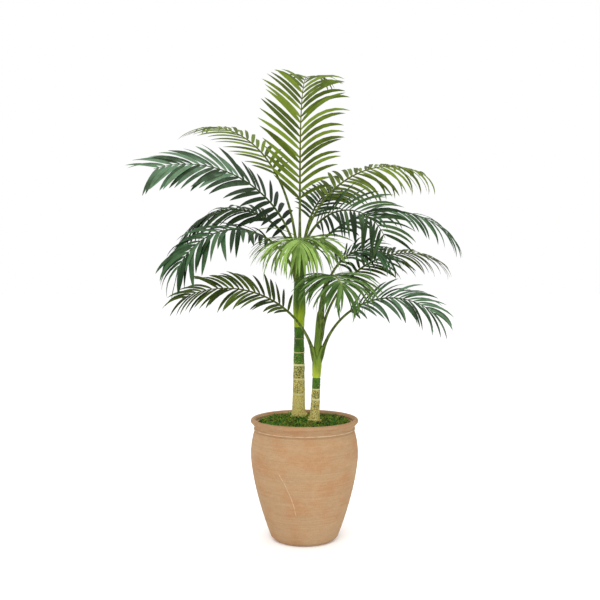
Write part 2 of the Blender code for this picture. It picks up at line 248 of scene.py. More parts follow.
@dataclass(frozen=True)
class Terracotta:
    """Unglazed clay with throwing lines, warm and chalky patches, a fine grain and one scratch.

    Attributes:
        lip: Height of the pot's lip.
        bore: Radius inside the lip.
        bead_drop: How far below the lip the neck's bead lies, along which a pale highlight is painted;
        groove_drop and rim_drop are the same for the painted shadow under it and for the foot of the
        lip's face, above which the lip is painted a little darker as shade and its inner face lighter
        as painted light.
        scratch_foot: Height of the scratch's lower end; scratch_head is the same for its upper end.
        scratch_start: Its place across the front, in metres, at its lower end.
        scratch_lean: How far it moves left for each metre up; scratch_bow adds a curve.
    """

    lip: float
    bore: float
    warm: Colour = (0.368, 0.203, 0.098)
    sandy: Colour = (0.370, 0.234, 0.124)
    chalk: Colour = (0.445, 0.303, 0.176)
    bead_highlight: Colour = (0.560, 0.425, 0.300)
    scraped: Colour = (0.600, 0.470, 0.320)
    dashed: Colour = (0.330, 0.150, 0.070)
    bead_drop: float = 0.0335
    groove_drop: float = 0.0395
    rim_drop: float = 0.0285
    scratch_foot: float = 0.110
    scratch_head: float = 0.270
    scratch_start: float = -0.027
    scratch_lean: float = 0.22
    scratch_bow: float = 1.6
    scratch_middle: float = 0.15

    def scratch(self, paint: Paint) -> Wire:
        """A long thin scrape down the front of the belly.

        Args:
            paint: The material that it is for.

        Returns:
            1 in the scrape and 0 elsewhere.
        """
        height = paint.axis("Z")
        low = height - self.scratch_foot
        bow = low * (height - self.scratch_middle) * self.scratch_bow
        line = self.scratch_start - low * self.scratch_lean - bow
        wander = (paint.cloud(45.0, None, 2.0) - 0.5) * 0.004
        near = 1.0 - paint.step(abs(paint.axis("X") - line + wander), 0.0004, 0.0013)
        ending = paint.step(height, self.scratch_head - 0.02, self.scratch_head)
        span = paint.step(low, 0.0, 0.015) * (1.0 - ending)
        depth = 0.35 + 0.65 * paint.step(paint.cloud(60.0, None, 2.0), 0.40, 0.56)
        return near * span * depth * (1.0 - paint.step(paint.axis("Y"), -0.02, 0.0))

    def material(self) -> bpy.types.Material:
        """Make the material.

        Returns:
            The finished material.
        """
        paint = Paint("terracotta")
        patches = paint.step(paint.cloud(13.0, paint.place((1, 1, 1.3)), 6.0), 0.34, 0.60)
        colour = paint.mix(patches, self.warm, self.sandy)
        mottle = paint.step(paint.cloud(70.0, paint.place((0.7, 0.7, 1.6)), 4.0), 0.42, 0.66)
        bloom = paint.step(paint.cloud(5.0, paint.place((1, 1, 0.8)), 6.0), 0.46, 0.74)
        colour = paint.mix(bloom * 0.40 + mottle * 0.22, colour, self.chalk)
        fine = paint.cloud(34.0, paint.place((0.14, 0.14, 12.0)), 4.0)
        broad = paint.cloud(12.0, paint.place((0.4, 0.4, 6.0)), 3.0)
        grain = paint.cloud(300.0, None, 4.0)
        colour = paint.mix(self.scratch(paint) * 0.75, colour, self.scraped)
        height = paint.axis("Z")
        # Painted highlight: a pale line along the neck's bead, broken up by noise.
        bead = 1.0 - paint.step(abs(height - (self.lip - self.bead_drop)), 0.0004, 0.0022)
        highlight_breaks = paint.step(paint.cloud(40.0, None, 3.0), 0.30, 0.55)
        colour = paint.mix(bead * highlight_breaks * 0.60, colour, self.bead_highlight)
        rim_foot = self.lip - self.rim_drop
        rim = paint.step(height, rim_foot - 0.0015, rim_foot + 0.0015)
        dashes = paint.step(paint.cloud(60.0, paint.place((0.35, 0.35, 2.5)), 3.0), 0.50, 0.62)
        colour = paint.mix(rim * dashes * 0.35, colour, self.dashed)
        # Painted shadow in the groove under the bead and faintly over the lip; painted light makes the
        # lip's inner face lighter.
        groove = 1.0 - paint.step(abs(height - (self.lip - self.groove_drop)), 0.0010, 0.0050)
        out = paint.node("VectorMath", {"operation": "LENGTH"}, {0: paint.place((1, 1, 0))}, "Value")
        inside = rim * (1.0 - paint.step(out, self.bore - 0.001, self.bore + 0.001))
        marks = 0.55 + fine * 0.34 + broad * 0.14 + grain * 0.42
        painted_light_and_shade = (1.0 - groove * 0.16 - rim * 0.05) * (1.0 + inside * 0.75)
        colour = paint.shade(colour, marks * painted_light_and_shade)
        return paint.finish(colour, 0.86 + fine * 0.1, fine * 0.6 + grain * 0.4, 0.0009, 0.4, 0.2)


@dataclass(frozen=True)
class PottingSoil:
    """Dark crumbly soil."""

    dark: Colour = (0.022, 0.014, 0.009)
    light: Colour = (0.075, 0.050, 0.032)

    def material(self) -> bpy.types.Material:
        """Make the material.

        Returns:
            The finished material.
        """
        paint = Paint("potting_soil")
        crumbs = paint.cloud(220.0, None, 6.0)
        colour = paint.mix(paint.step(crumbs, 0.40, 0.62), self.dark, self.light)
        return paint.finish(colour, 0.95, crumbs, 0.003, 0.8, 0.2)


@dataclass(frozen=True)
class MossGreen:
    """Sheet moss: each tuft has its own green, and some are brown; each tuft is painted darker towards its
    root as shade between the tufts.
    """

    # deep is the darkest tufts' own green and also the painted shade at every tuft's root.
    deep: Colour = (0.008, 0.016, 0.002)
    fresh: Colour = (0.032, 0.200, 0.016)
    yellow: Colour = (0.170, 0.235, 0.014)
    dry: Colour = (0.190, 0.130, 0.030)

    def material(self) -> bpy.types.Material:
        """Make the material.

        Returns:
            The finished material.
        """
        paint = Paint("moss")
        tone = paint.attribute("tone")
        fleck = paint.cloud(260.0, None, 3.0)
        colour = paint.mix(paint.step(tone + (fleck - 0.5) * 0.4, 0.10, 0.40), self.deep, self.fresh)
        colour = paint.mix(paint.step(tone, 0.40, 0.62), colour, self.yellow)
        patch = paint.step(paint.cloud(24.0, None, 3.0), 0.50, 0.66)
        brown = paint.step(tone, 0.88, 0.93) * 0.8 + patch * 0.45
        colour = paint.mix(brown * paint.step(tone, 0.10, 0.30), colour, self.dry)
        # Painted shade: each tuft goes dark towards its root, where the tufts shade each other.
        colour = paint.mix(paint.step(paint.attribute("tip"), 0.25, 0.85), self.deep, colour)
        return paint.finish(colour, 0.8, fleck, 0.001, 0.4, 0.2)


@dataclass(frozen=True)
class CaneSkin:
    """Palm stem: tan and corky where it is old, mottled, then green, with pale ring scars.

    The mesh's numbers age, from 0, green, to 1, tan, and scar, where a ring shows, say what is where.

    Attributes:
        name: The stem's name, which the material takes.
    """

    name: str
    tan: Colour = (0.380, 0.285, 0.060)
    cork: Colour = (0.540, 0.490, 0.175)
    olive: Colour = (0.050, 0.066, 0.016)
    green: Colour = (0.050, 0.135, 0.008)
    shade_green: Colour = (0.024, 0.070, 0.005)
    scar: Colour = (0.540, 0.500, 0.230)

    def material(self) -> bpy.types.Material:
        """Make the material.

        Returns:
            The finished material.
        """
        paint = Paint(self.name + "_skin")
        age = paint.attribute("age")
        winding = {"Vector": paint.place((1, 1, 1.5)), "Scale": 230.0, "Detail": 2.0, "Distortion": 1.2}
        worms = paint.node("TexNoise", None, winding)
        broad = paint.cloud(60.0, paint.place((1, 1, 0.6)), 3.0)
        specks = paint.cloud(700.0, None, 3.0)
        fresh = paint.mix(paint.step(broad, 0.40, 0.66), self.green, self.shade_green)
        under = paint.mix(paint.step(age, 0.30, 0.60), fresh, self.olive)
        crumbs = paint.cloud(260.0, None, 3.0)
        corky = paint.mix(paint.step(crumbs, 0.38, 0.60), self.tan, self.cork)
        covered = paint.step((worms - 0.5) * 2.4 + age + (broad - 0.5) * 0.4, 0.46, 0.56)
        colour = paint.mix(covered, under, corky)
        scar = paint.attribute("scar")
        colour = paint.mix(paint.step(scar + (specks - 0.5) * 0.25, 0.15, 0.85), colour, self.scar)
        streaks = paint.cloud(150.0, paint.place((1, 1, 0.10)), 3.0)
        colour = paint.shade(colour, 0.74 + streaks * 0.30 + specks * 0.22)
        relief = covered * 0.5 + specks * 0.3 + scar * 0.3
        return paint.finish(colour, 0.50 + covered * 0.3, relief, 0.0010, 0.5, 0.15)


@dataclass(frozen=True)
class SheathSkin:
    """Smooth waxy leaf sheath: yellow at its foot, green above, with fine upright veins.

    Attributes:
        name: What the material is called, before its ending.
        foot: Height of the sheath's foot.
        reach: How far up the yellow reaches, in metres.
        yellow: The colour of its foot; green and deep are the two greens above.
        blotched: The colour of its spots.
        dry: The colour of a sleeve's edge.
    """

    name: str
    foot: float
    reach: float
    yellow: Colour
    green: Colour
    deep: Colour
    blotched: Colour = (0.055, 0.070, 0.010)
    dry: Colour = (0.140, 0.130, 0.030)

    def material(self) -> bpy.types.Material:
        """Make the material.

        Returns:
            The finished material.
        """
        paint = Paint(self.name + "_skin")
        height = paint.axis("Z")
        veins = paint.cloud(420.0, paint.place((1, 1, 0.03)), 3.0)
        broad = paint.cloud(70.0, paint.place((1, 1, 0.18)), 3.0)
        colour = paint.mix(paint.step(broad, 0.38, 0.62), self.green, self.deep)
        rising = paint.step(height + (broad - 0.5) * 0.10, self.foot, self.foot + self.reach)
        colour = paint.mix(rising, self.yellow, colour)
        blotch = paint.step(paint.cloud(150.0, paint.place((1, 1, 0.5)), 4.0), 0.60, 0.72)
        colour = paint.mix(blotch * 0.30, colour, self.blotched)
        colour = paint.mix(paint.attribute("edge") * 0.60, colour, self.dry)
        colour = paint.shade(colour, 0.66 + veins * 0.62)
        return paint.finish(colour, 0.45 + broad * 0.2, veins, 0.0007, 0.4, 0.15)


class Green(Enum):
    """The greens of the fronds, each as (blade, light patches, rib)."""

    BRIGHT = ((0.048, 0.076, 0.003), (0.120, 0.180, 0.013), (0.080, 0.092, 0.008))
    FRESH = ((0.075, 0.140, 0.015), (0.200, 0.320, 0.070), (0.150, 0.180, 0.030))
    OLIVE = ((0.020, 0.040, 0.003), (0.068, 0.110, 0.012), (0.060, 0.070, 0.010))
    MIDDLE = ((0.030, 0.074, 0.010), (0.090, 0.170, 0.038), (0.180, 0.200, 0.025))
    TEAL = ((0.016, 0.038, 0.012), (0.085, 0.160, 0.090), (0.030, 0.055, 0.014))
    DARK = ((0.010, 0.032, 0.008), (0.044, 0.108, 0.044), (0.030, 0.055, 0.014))
    SHADED = ((0.007, 0.021, 0.004), (0.032, 0.075, 0.022), (0.030, 0.045, 0.008))

    @property
    def slot(self) -> str:
        """The name of the record's slot for a frond of this green.

        Returns:
            The slot's name.
        """
        if self in (Green.BRIGHT, Green.FRESH):
            return "leaf_bright"
        dark = (Green.TEAL, Green.DARK, Green.SHADED)
        return "leaf_dark" if self in dark else "leaf_middle"


@dataclass(frozen=True)
class LeafSkin:
    """A frond's skin: leaflets of uneven green with a rib and fine veins, and the frond's stalk.

    The mesh's numbers tone, a leaflet's own lightness, lowered near its frond's foot as painted shade,
    under, 1 on its underside, and stalk, 1 on bare stalk, say what is where; the UV map leaf runs
    across and along each leaflet.

    Attributes:
        green: Which green it is.
        bark_dark: The stalk's darker colour; bark_light is its lighter one.
        withered: The colour of the leaflets' tips.
    """

    green: Green
    bark_dark: Colour = (0.046, 0.072, 0.008)
    bark_light: Colour = (0.115, 0.160, 0.026)
    withered: Colour = (0.130, 0.085, 0.025)

    def material(self) -> bpy.types.Material:
        """Make the material.

        Returns:
            The finished material.
        """
        paint = Paint("leaf_" + self.green.name.lower())
        blade, light, rib = self.green.value
        across = paint.uv("leaf", "X")
        along = paint.uv("leaf", "Y")
        tone = paint.attribute("tone")
        clouds = paint.cloud(24.0, None, 3.0)
        colour = paint.mix(paint.step(clouds * 0.9 + tone * 0.5, 0.42, 1.0), blade, light)
        stretch = paint.node("CombineXYZ", None, {0: across * 11.0, 1: along * 0.4, 2: tone * 31.0})
        veins = paint.cloud(4.0, stretch, 2.0)
        # The leaflet's tone sets its lightness; near the frond's foot the tone is lowered as painted shade.
        colour = paint.shade(colour, 0.60 + tone * 0.30 + veins * 0.45)
        pale = paint.mix(0.5, blade, light)
        colour = paint.mix(paint.attribute("under") * 0.30, colour, pale)
        line = (1.0 - paint.step(abs(across - 0.5), 0.02, 0.07)) * (1.0 - paint.step(along, 0.7, 0.95))
        colour = paint.mix(line * 0.45, colour, rib)
        tips = paint.step(along + tone * 0.05, 0.98, 1.03)
        colour = paint.mix(tips * 0.6, colour, self.withered)
        speckle = paint.step(paint.cloud(140.0, paint.place((1, 1, 0.4)), 3.0), 0.38, 0.66)
        stalk = paint.attribute("stalk")
        bark = paint.mix(speckle, self.bark_dark, self.bark_light)
        bark = paint.mix(paint.step(stalk, 0.4, 1.0), rib, bark)
        colour = paint.mix(paint.step(stalk, 0.1, 0.3), colour, bark)
        return paint.finish(colour, 0.50 + veins * 0.16, veins - line * 0.5, 0.0007, 0.45, 0.12)


# Bench tools: the operators that the pieces are made with.


def drop_selection() -> None:
    """Deselect every object, and leave edit mode."""
    if bpy.context.object and bpy.context.object.mode != "OBJECT":
        bpy.ops.object.mode_set(mode="OBJECT")
    bpy.ops.object.select_all(action="DESELECT")


def take(piece: bpy.types.Object) -> None:
    """Make a piece the only selected one, and the active one.

    Args:
        piece: The piece.
    """
    drop_selection()
    piece.select_set(True)
    bpy.context.view_layer.objects.active = piece


def linked(name: str, data: Any) -> bpy.types.Object:
    """Put an object with this mesh, curve, light or camera into the scene.

    Args:
        name: What it is called.
        data: What it holds.

    Returns:
        The object.
    """
    made = bpy.data.objects.new(name, data)
    bpy.context.collection.objects.link(made)
    return made


def settle(piece: bpy.types.Object, name: str) -> bpy.types.Object:
    """Name a piece and put its place, turn and scale into its mesh.

    Args:
        piece: The piece.
        name: What it is called.

    Returns:
        The same piece.
    """
    take(piece)
    bpy.ops.object.transform_apply(location=True, rotation=True, scale=True)
    piece.name = name
    piece.data.name = name
    return piece


def joined(pieces: Sequence[bpy.types.Object], name: str) -> bpy.types.Object:
    """Join pieces into one.

    Args:
        pieces: The pieces, of which the first takes in the others.
        name: What the whole is called.

    Returns:
        The one piece, at the origin.
    """
    drop_selection()
    for piece in pieces:
        piece.select_set(True)
    bpy.context.view_layer.objects.active = pieces[0]
    bpy.ops.object.join()
    return settle(pieces[0], name)


def smooth(piece: bpy.types.Object, degrees: float = 40.0) -> None:
    """Shade a piece smooth, but for edges sharper than an angle."""
    take(piece)
    bpy.ops.object.shade_smooth_by_angle(angle=math.radians(degrees))


def number_layer(piece: bpy.types.Object, name: str, values: Sequence[float]) -> None:
    """Keep a number for each vertex of a piece under a name."""
    layer = piece.data.attributes.get(name) or piece.data.attributes.new(name, "FLOAT", "POINT")
    layer.data.foreach_set("value", np.asarray(values, np.float32))


def points_of(piece: bpy.types.Object) -> np.ndarray:
    """Read where a piece's vertices are.

    Args:
        piece: The piece.

    Returns:
        A row of x, y and z for each vertex.
    """
    flat = np.empty(len(piece.data.vertices) * 3, np.float32)
    piece.data.vertices.foreach_get("co", flat)
    return flat.reshape(-1, 3).astype(float)


def move_points(piece: bpy.types.Object, points: np.ndarray) -> None:
    """Put a piece's vertices at new places."""
    piece.data.vertices.foreach_set("co", points.astype(np.float32).ravel())
    piece.data.update()


def open_faces() -> None:
    """Start to edit the active object, with all of its faces selected."""
    bpy.ops.object.mode_set(mode="EDIT")
    bpy.ops.mesh.select_mode(type="FACE")
    bpy.ops.mesh.select_all(action="SELECT")


def draw_out(
    shift: tuple[float, float, float],
    share: tuple[float, float, float],
    centre: tuple[float, float, float] | None = None,
) -> None:
    """Extrude the selected faces and scale their far end.

    Args:
        shift: How far the end moves.
        share: How much it is scaled on each axis.
        centre: What it is scaled about: its own middle, unless this is given.
    """
    bpy.ops.mesh.extrude_region_move(TRANSFORM_OT_translate={"value": shift})
    about = {"center_override": centre} if centre else {}
    bpy.ops.transform.resize(value=share, **about)


def close_shape() -> None:
    """Turn all faces of the edited object outwards and leave edit mode."""
    bpy.ops.mesh.select_all(action="SELECT")
    bpy.ops.mesh.normals_make_consistent(inside=False)
    bpy.ops.object.mode_set(mode="OBJECT")


def thrown(name: str, profile: Profile, sides: int, centre: Callable[[float], Vector]) -> bpy.types.Object:
    """Raise a round closed shape ring by ring, as clay on a wheel.

    Args:
        name: What it is called.
        profile: (radius, height) of each ring, from the first cap to the last.
        sides: How many corners a ring has.
        centre: The ring's centre at a height.

    Returns:
        The closed shape.
    """
    drop_selection()
    radius, height = profile[0]
    bpy.ops.mesh.primitive_circle_add(
        vertices=sides, radius=radius, fill_type="NGON", location=(*centre(height).xy, height)
    )
    piece = bpy.context.object
    open_faces()
    for (low_radius, low), (high_radius, high) in zip(profile, profile[1:]):
        shift = centre(high) - centre(low)
        share = high_radius / low_radius
        draw_out((shift.x, shift.y, high - low), (share, share, 1), (*centre(high).xy, high))
    close_shape()
    return settle(piece, name)


def roughened(piece: bpy.types.Object, amount: float, grain: float, seed: int = 0) -> None:
    """Make a surface uneven by moving its points along their normals.

    Args:
        piece: The piece.
        amount: The largest move, in metres.
        grain: The size of the lumps, in metres.
        seed: Which pattern.
    """
    for vertex in piece.data.vertices:
        swell = noise.noise(vertex.co / grain + Vector((seed * 7.3, seed * 3.1, 0.0)))
        vertex.co += vertex.normal * swell * amount
    piece.data.update()


def ring_ends(model: bpy.types.Object) -> tuple[Vector, Vector]:
    """Centres of the lowest and the highest ring of an upright model.

    Args:
        model: The node's object.

    Returns:
        The low centre and the high centre.
    """
    points = points_of(model)
    low, high = points[:, 2].min(), points[:, 2].max()
    ends = [points[np.abs(points[:, 2] - level) < 1e-4] for level in (low, high)]
    return tuple(Vector((end.min(0) + end.max(0)) / 2) for end in ends)


def present(piece: bpy.types.Object, material: bpy.types.Material, node: str) -> None:
    """Dress a piece, set it on the body, and let it stand for its node.

    Args:
        piece: The finished piece.
        material: Its finish.
        node: The node that it replaces.
    """
    piece.data.materials.clear()
    piece.data.materials.append(material)
    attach(piece, BODY)
    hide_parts(node)
    LOG.info("%s: %d faces, for %s", piece.name, len(piece.data.polygons), node)


# The pot and what fills it.


@dataclass
class Pot:
    """The thrown jar: flat base, rounded foot, belly, neck with a bead, and a rolled lip.

    Attributes:
        node: The pot's node.
        sides: Corners of each ring.
        foot_radius: Radius at the base, foot_rounding the rounding of its edge and foot_curve how
            suddenly the wall narrows down to it.
        belly_radius: Radius at the belly, belly_drop below the top.
        neck_radius: Radius at the neck, neck_drop below the top.
        lip_width: Width of the lip's rolled crest, and lip_depth its height.
        inner_drop: Depth inside at which the lip runs into the wall.
        wall: How thick the wall is, and floor the same for the floor.
        bead_proud: How far the neck's bead stands out.
        mark_pitch: Height between throwing marks, mark_depth how far they stand out and ripple_depth
            the same for the finer lines.
        top: Height of the lip.
        lip_radius: Radius of the lip.
    """

    node: str = "pot"
    sides: int = 128
    foot_radius: float = 0.111
    foot_rounding: float = 0.014
    belly_radius: float = 0.1832
    belly_drop: float = 0.121
    neck_radius: float = 0.1708
    neck_drop: float = 0.040
    lip_width: float = 0.018
    lip_depth: float = 0.016
    inner_drop: float = 0.021
    wall: float = 0.012
    floor: float = 0.018
    bead_proud: float = 0.0024
    foot_curve: float = 1.55
    mark_pitch: float = 0.023
    mark_depth: float = 0.00022
    ripple_depth: float = 0.00018
    top: float = field(init=False)
    lip_radius: float = field(init=False)

    def __post_init__(self) -> None:
        """Read the height and the lip's radius from the node."""
        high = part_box(self.node)[1]
        self.top = high.z
        self.lip_radius = high.x

    def radius(self, height: float) -> float:
        """The outer radius below the lip.

        Args:
            height: Where, above the base.

        Returns:
            The radius there.
        """
        belly = self.top - self.belly_drop
        if height < belly:
            narrowing = (1 - height / belly) ** self.foot_curve
            return self.belly_radius - (self.belly_radius - self.foot_radius) * narrowing
        part = (height - belly) / (self.belly_drop - self.neck_drop)
        return self.belly_radius - (self.belly_radius - self.neck_radius) * min(part, 1.0) ** 2

    def wheel_marks(self, height: float) -> float:
        """How far the potter's fingers left the wall proud.

        Args:
            height: Where, above the base.

        Returns:
            How far the wall stands out there.
        """
        slow = math.sin(height * 2 * math.pi / self.mark_pitch + 2.0 * math.sin(height * 31))
        ripple = noise.noise(Vector((0.0, 0.0, height * 260)))
        return self.mark_depth * slow + self.ripple_depth * ripple

    def lip(self) -> Profile:
        """The neck's bead, the lip's face that flares up from it, and the rounded crest.

        Returns:
            The (radius, height) of each ring, from the bead up and over the crest.
        """
        neck = self.top - self.neck_drop
        profile: Profile = []
        for turn in range(-90, 91, 30):
            angle = math.radians(turn)
            profile.append((
                self.neck_radius + self.bead_proud * math.cos(angle),
                neck + 0.0052 + 0.0030 * math.sin(angle),
            ))
        face_foot = Vector((self.neck_radius - 0.0006, neck + 0.0095))
        half_width = self.lip_width / 2
        half_depth = self.lip_depth / 2
        middle = self.lip_radius - half_width - 0.0001
        centre = self.top - half_depth
        face_head = Vector((
            middle + half_width * math.cos(math.radians(-40)),
            centre + half_depth * math.sin(math.radians(-40)),
        ))
        for step in range(6):
            part = step / 6
            spot = face_foot.lerp(face_head, part)
            profile.append((spot.x - 0.0016 * math.sin(part * math.pi), spot.y))
        for turn in range(-40, 221, 13):
            angle = math.radians(turn)
            profile.append((middle + half_width * math.cos(angle), centre + half_depth * math.sin(angle)))
        return profile

    def outline(self) -> Profile:
        """The closed profile, from the base's middle out, up, over the lip and down to the floor.

        Returns:
            The (radius, height) of each ring.
        """
        foot = self.foot_radius - self.foot_rounding
        profile: Profile = [(foot * 0.5, 0.0), (foot, 0.0)]
        for step in range(1, 6):
            turn = math.radians(14 * step)
            profile.append((
                foot + self.foot_rounding * math.sin(turn),
                self.foot_rounding * (1 - math.cos(turn)),
            ))
        neck = self.top - self.neck_drop
        count = 84
        low = self.foot_rounding * 0.85
        for step in range(count):
            height = low + (neck - 0.002 - low) * step / (count - 1)
            profile.append((self.radius(height) + self.wheel_marks(height), height))
        profile += self.lip()
        inside_top = self.top - self.inner_drop
        for step in range(26):
            height = inside_top + (self.floor - inside_top) * step / 25
            profile.append((self.radius(height) - self.wall, height))
        profile.append((0.02, self.floor))
        return profile

    def build(self, clay: Terracotta) -> None:
        """Throw the pot, leave it a little out of round and dress it.

        Args:
            clay: What it is made of.
        """
        pot = thrown("clay_pot", self.outline(), self.sides, lambda height: Vector((0, 0, height)))
        places = points_of(pot)
        angle = np.arctan2(places[:, 1], places[:, 0])
        swing = 0.0008 * (np.sin(2 * angle + 1.0) * np.sin(places[:, 2] * 9) - 1.0)
        places[:, :2] *= (1 + np.where(places[:, 2] > 0.02, swing, 0.0))[:, None]
        move_points(pot, places)
        smooth(pot, 50)
        present(pot, clay.material(), self.node)


@dataclass
class MossBed:
    """Moss on the soil: a lumpy mound with hundreds of small tufts of curling threads.

    Attributes:
        pot: The pot that it fills.
        node: The moss's node.
        edge_rise: How far the mound's edge stands above the node's foot; crown is what its middle adds.
        tufts: How many tufts are set out; threads is how many each has.
        seed: Where the small differences come from.
        curl: A thread's steps, each (out, up, scale).
        tuft_height: How far a tuft's tips are from its root.
    """

    pot: Pot
    node: str = "moss"
    edge_rise: float = 0.009
    crown: float = 0.008
    tufts: int = 1150
    threads: int = 6
    seed: int = 11
    curl: tuple[tuple[float, float, float], ...] = (
        (0.0020, 0.0034, 0.90), (0.0038, 0.0018, 0.85), (0.0042, -0.0010, 0.70), (0.0026, -0.0026, 0.35),
    )
    tuft_height: float = 0.009

    def bed_height(self, radius: float) -> float:
        """Height of the mound's surface.

        Args:
            radius: How far from the pot's middle.

        Returns:
            The height there.
        """
        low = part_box(self.node)[0].z
        edge = self.pot.neck_radius - self.pot.wall
        return low + self.edge_rise + self.crown * math.sin((1 - min(radius / edge, 1.0)) * math.pi / 2)

    def mound(self) -> bpy.types.Object:
        """The ground of the moss, from its underside up to its middle.

        Returns:
            The mound.
        """
        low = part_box(self.node)[0].z
        edge = self.pot.neck_radius - self.pot.wall - 0.0012
        profile: Profile = [(edge * 0.9, low), (edge, low), (edge, self.bed_height(edge))]
        for step in range(1, 30):
            radius = edge * (1 - step / 30)
            profile.append((radius, self.bed_height(radius)))
        mound = thrown("moss_ground", profile, 96, lambda height: Vector((0, 0, height)))
        roughened(mound, 0.004, 0.013, 3)
        number_layer(mound, "tone", np.zeros(len(mound.data.vertices)))
        number_layer(mound, "tip", np.zeros(len(mound.data.vertices)))
        return mound

    def tuft_blank(self) -> bpy.types.Object:
        """One tuft: a few threads that curl over, each its own way, from one root.

        Returns:
            The tuft, with its root at the origin.
        """
        drop_selection()
        bpy.ops.mesh.primitive_circle_add(vertices=3, radius=0.0015, fill_type="NGON")
        thread = bpy.context.object
        open_faces()
        for out, up, share in self.curl:
            draw_out((out, 0, up), (share, share, share))
        close_shape()
        settle(thread, "thread")
        threads = [thread]
        for index in range(1, self.threads):
            twin = linked("thread", thread.data.copy())
            turn = Matrix.Rotation(index * 2.4, 4, "Z")
            lean = Matrix.Rotation(0.45 * math.sin(index * 2.2) - 0.25, 4, "Y")
            curl = Matrix.Rotation(0.5 * math.cos(index * 1.7), 4, "X")
            twin.data.transform(turn @ curl @ lean @ Matrix.Scale(0.75 + 0.12 * index, 4))
            threads.append(twin)
        tuft = joined(threads, "tuft")
        reach = np.linalg.norm(points_of(tuft), axis=1)
        number_layer(tuft, "tip", np.clip(reach / self.tuft_height, 0.0, 1.0))
        return tuft

    def build(self, green: MossGreen, canes: Sequence[Cane]) -> None:
        """Lay the mound and plant its tufts, clear of the canes.

        Args:
            green: What it is finished with.
            canes: The stems that rise through it.
        """
        rng = random.Random(self.seed)
        blank = self.tuft_blank()
        pieces = [self.mound()]
        reach = self.pot.neck_radius - self.pot.wall - 0.003
        for index in range(self.tufts):
            radius = reach * math.sqrt((index + 0.5) / self.tufts)
            angle = index * 2.399963 + rng.uniform(-0.3, 0.3)
            spot = Vector((radius * math.cos(angle), radius * math.sin(angle), 0))
            size = rng.uniform(0.55, 1.15)
            turn = Matrix.Rotation(rng.uniform(0, 2 * math.pi), 4, "Z")
            tilt = Matrix.Rotation(rng.uniform(-0.5, 0.5), 4, "X")
            tone = rng.betavariate(1.5, 1.7)
            if any((spot - cane.centre(self.pot.top)).xy.length < cane.foot_radius for cane in canes):
                continue
            lump = noise.noise(spot * 60) * 0.0025
            spot.z = self.bed_height(radius) + lump - 0.001
            twin = linked("tuft", blank.data.copy())
            twin.data.transform(Matrix.Translation(spot) @ turn @ tilt @ Matrix.Scale(size, 4))
            number_layer(twin, "tone", np.full(len(twin.data.vertices), tone))
            pieces.append(twin)
        bpy.data.objects.remove(blank)
        moss = joined(pieces, "moss_bed")
        smooth(moss, 60)
        present(moss, green.material(), self.node)


# The canes and crownshafts.


@dataclass(frozen=True)
class Ring:
    """A ring scar on a cane.

    Attributes:
        rise: Its height above the pot's lip.
        half_height: Half of how tall it is.
        paleness: How pale it is, from 0 to 1.
    """

    rise: float
    half_height: float
    paleness: float


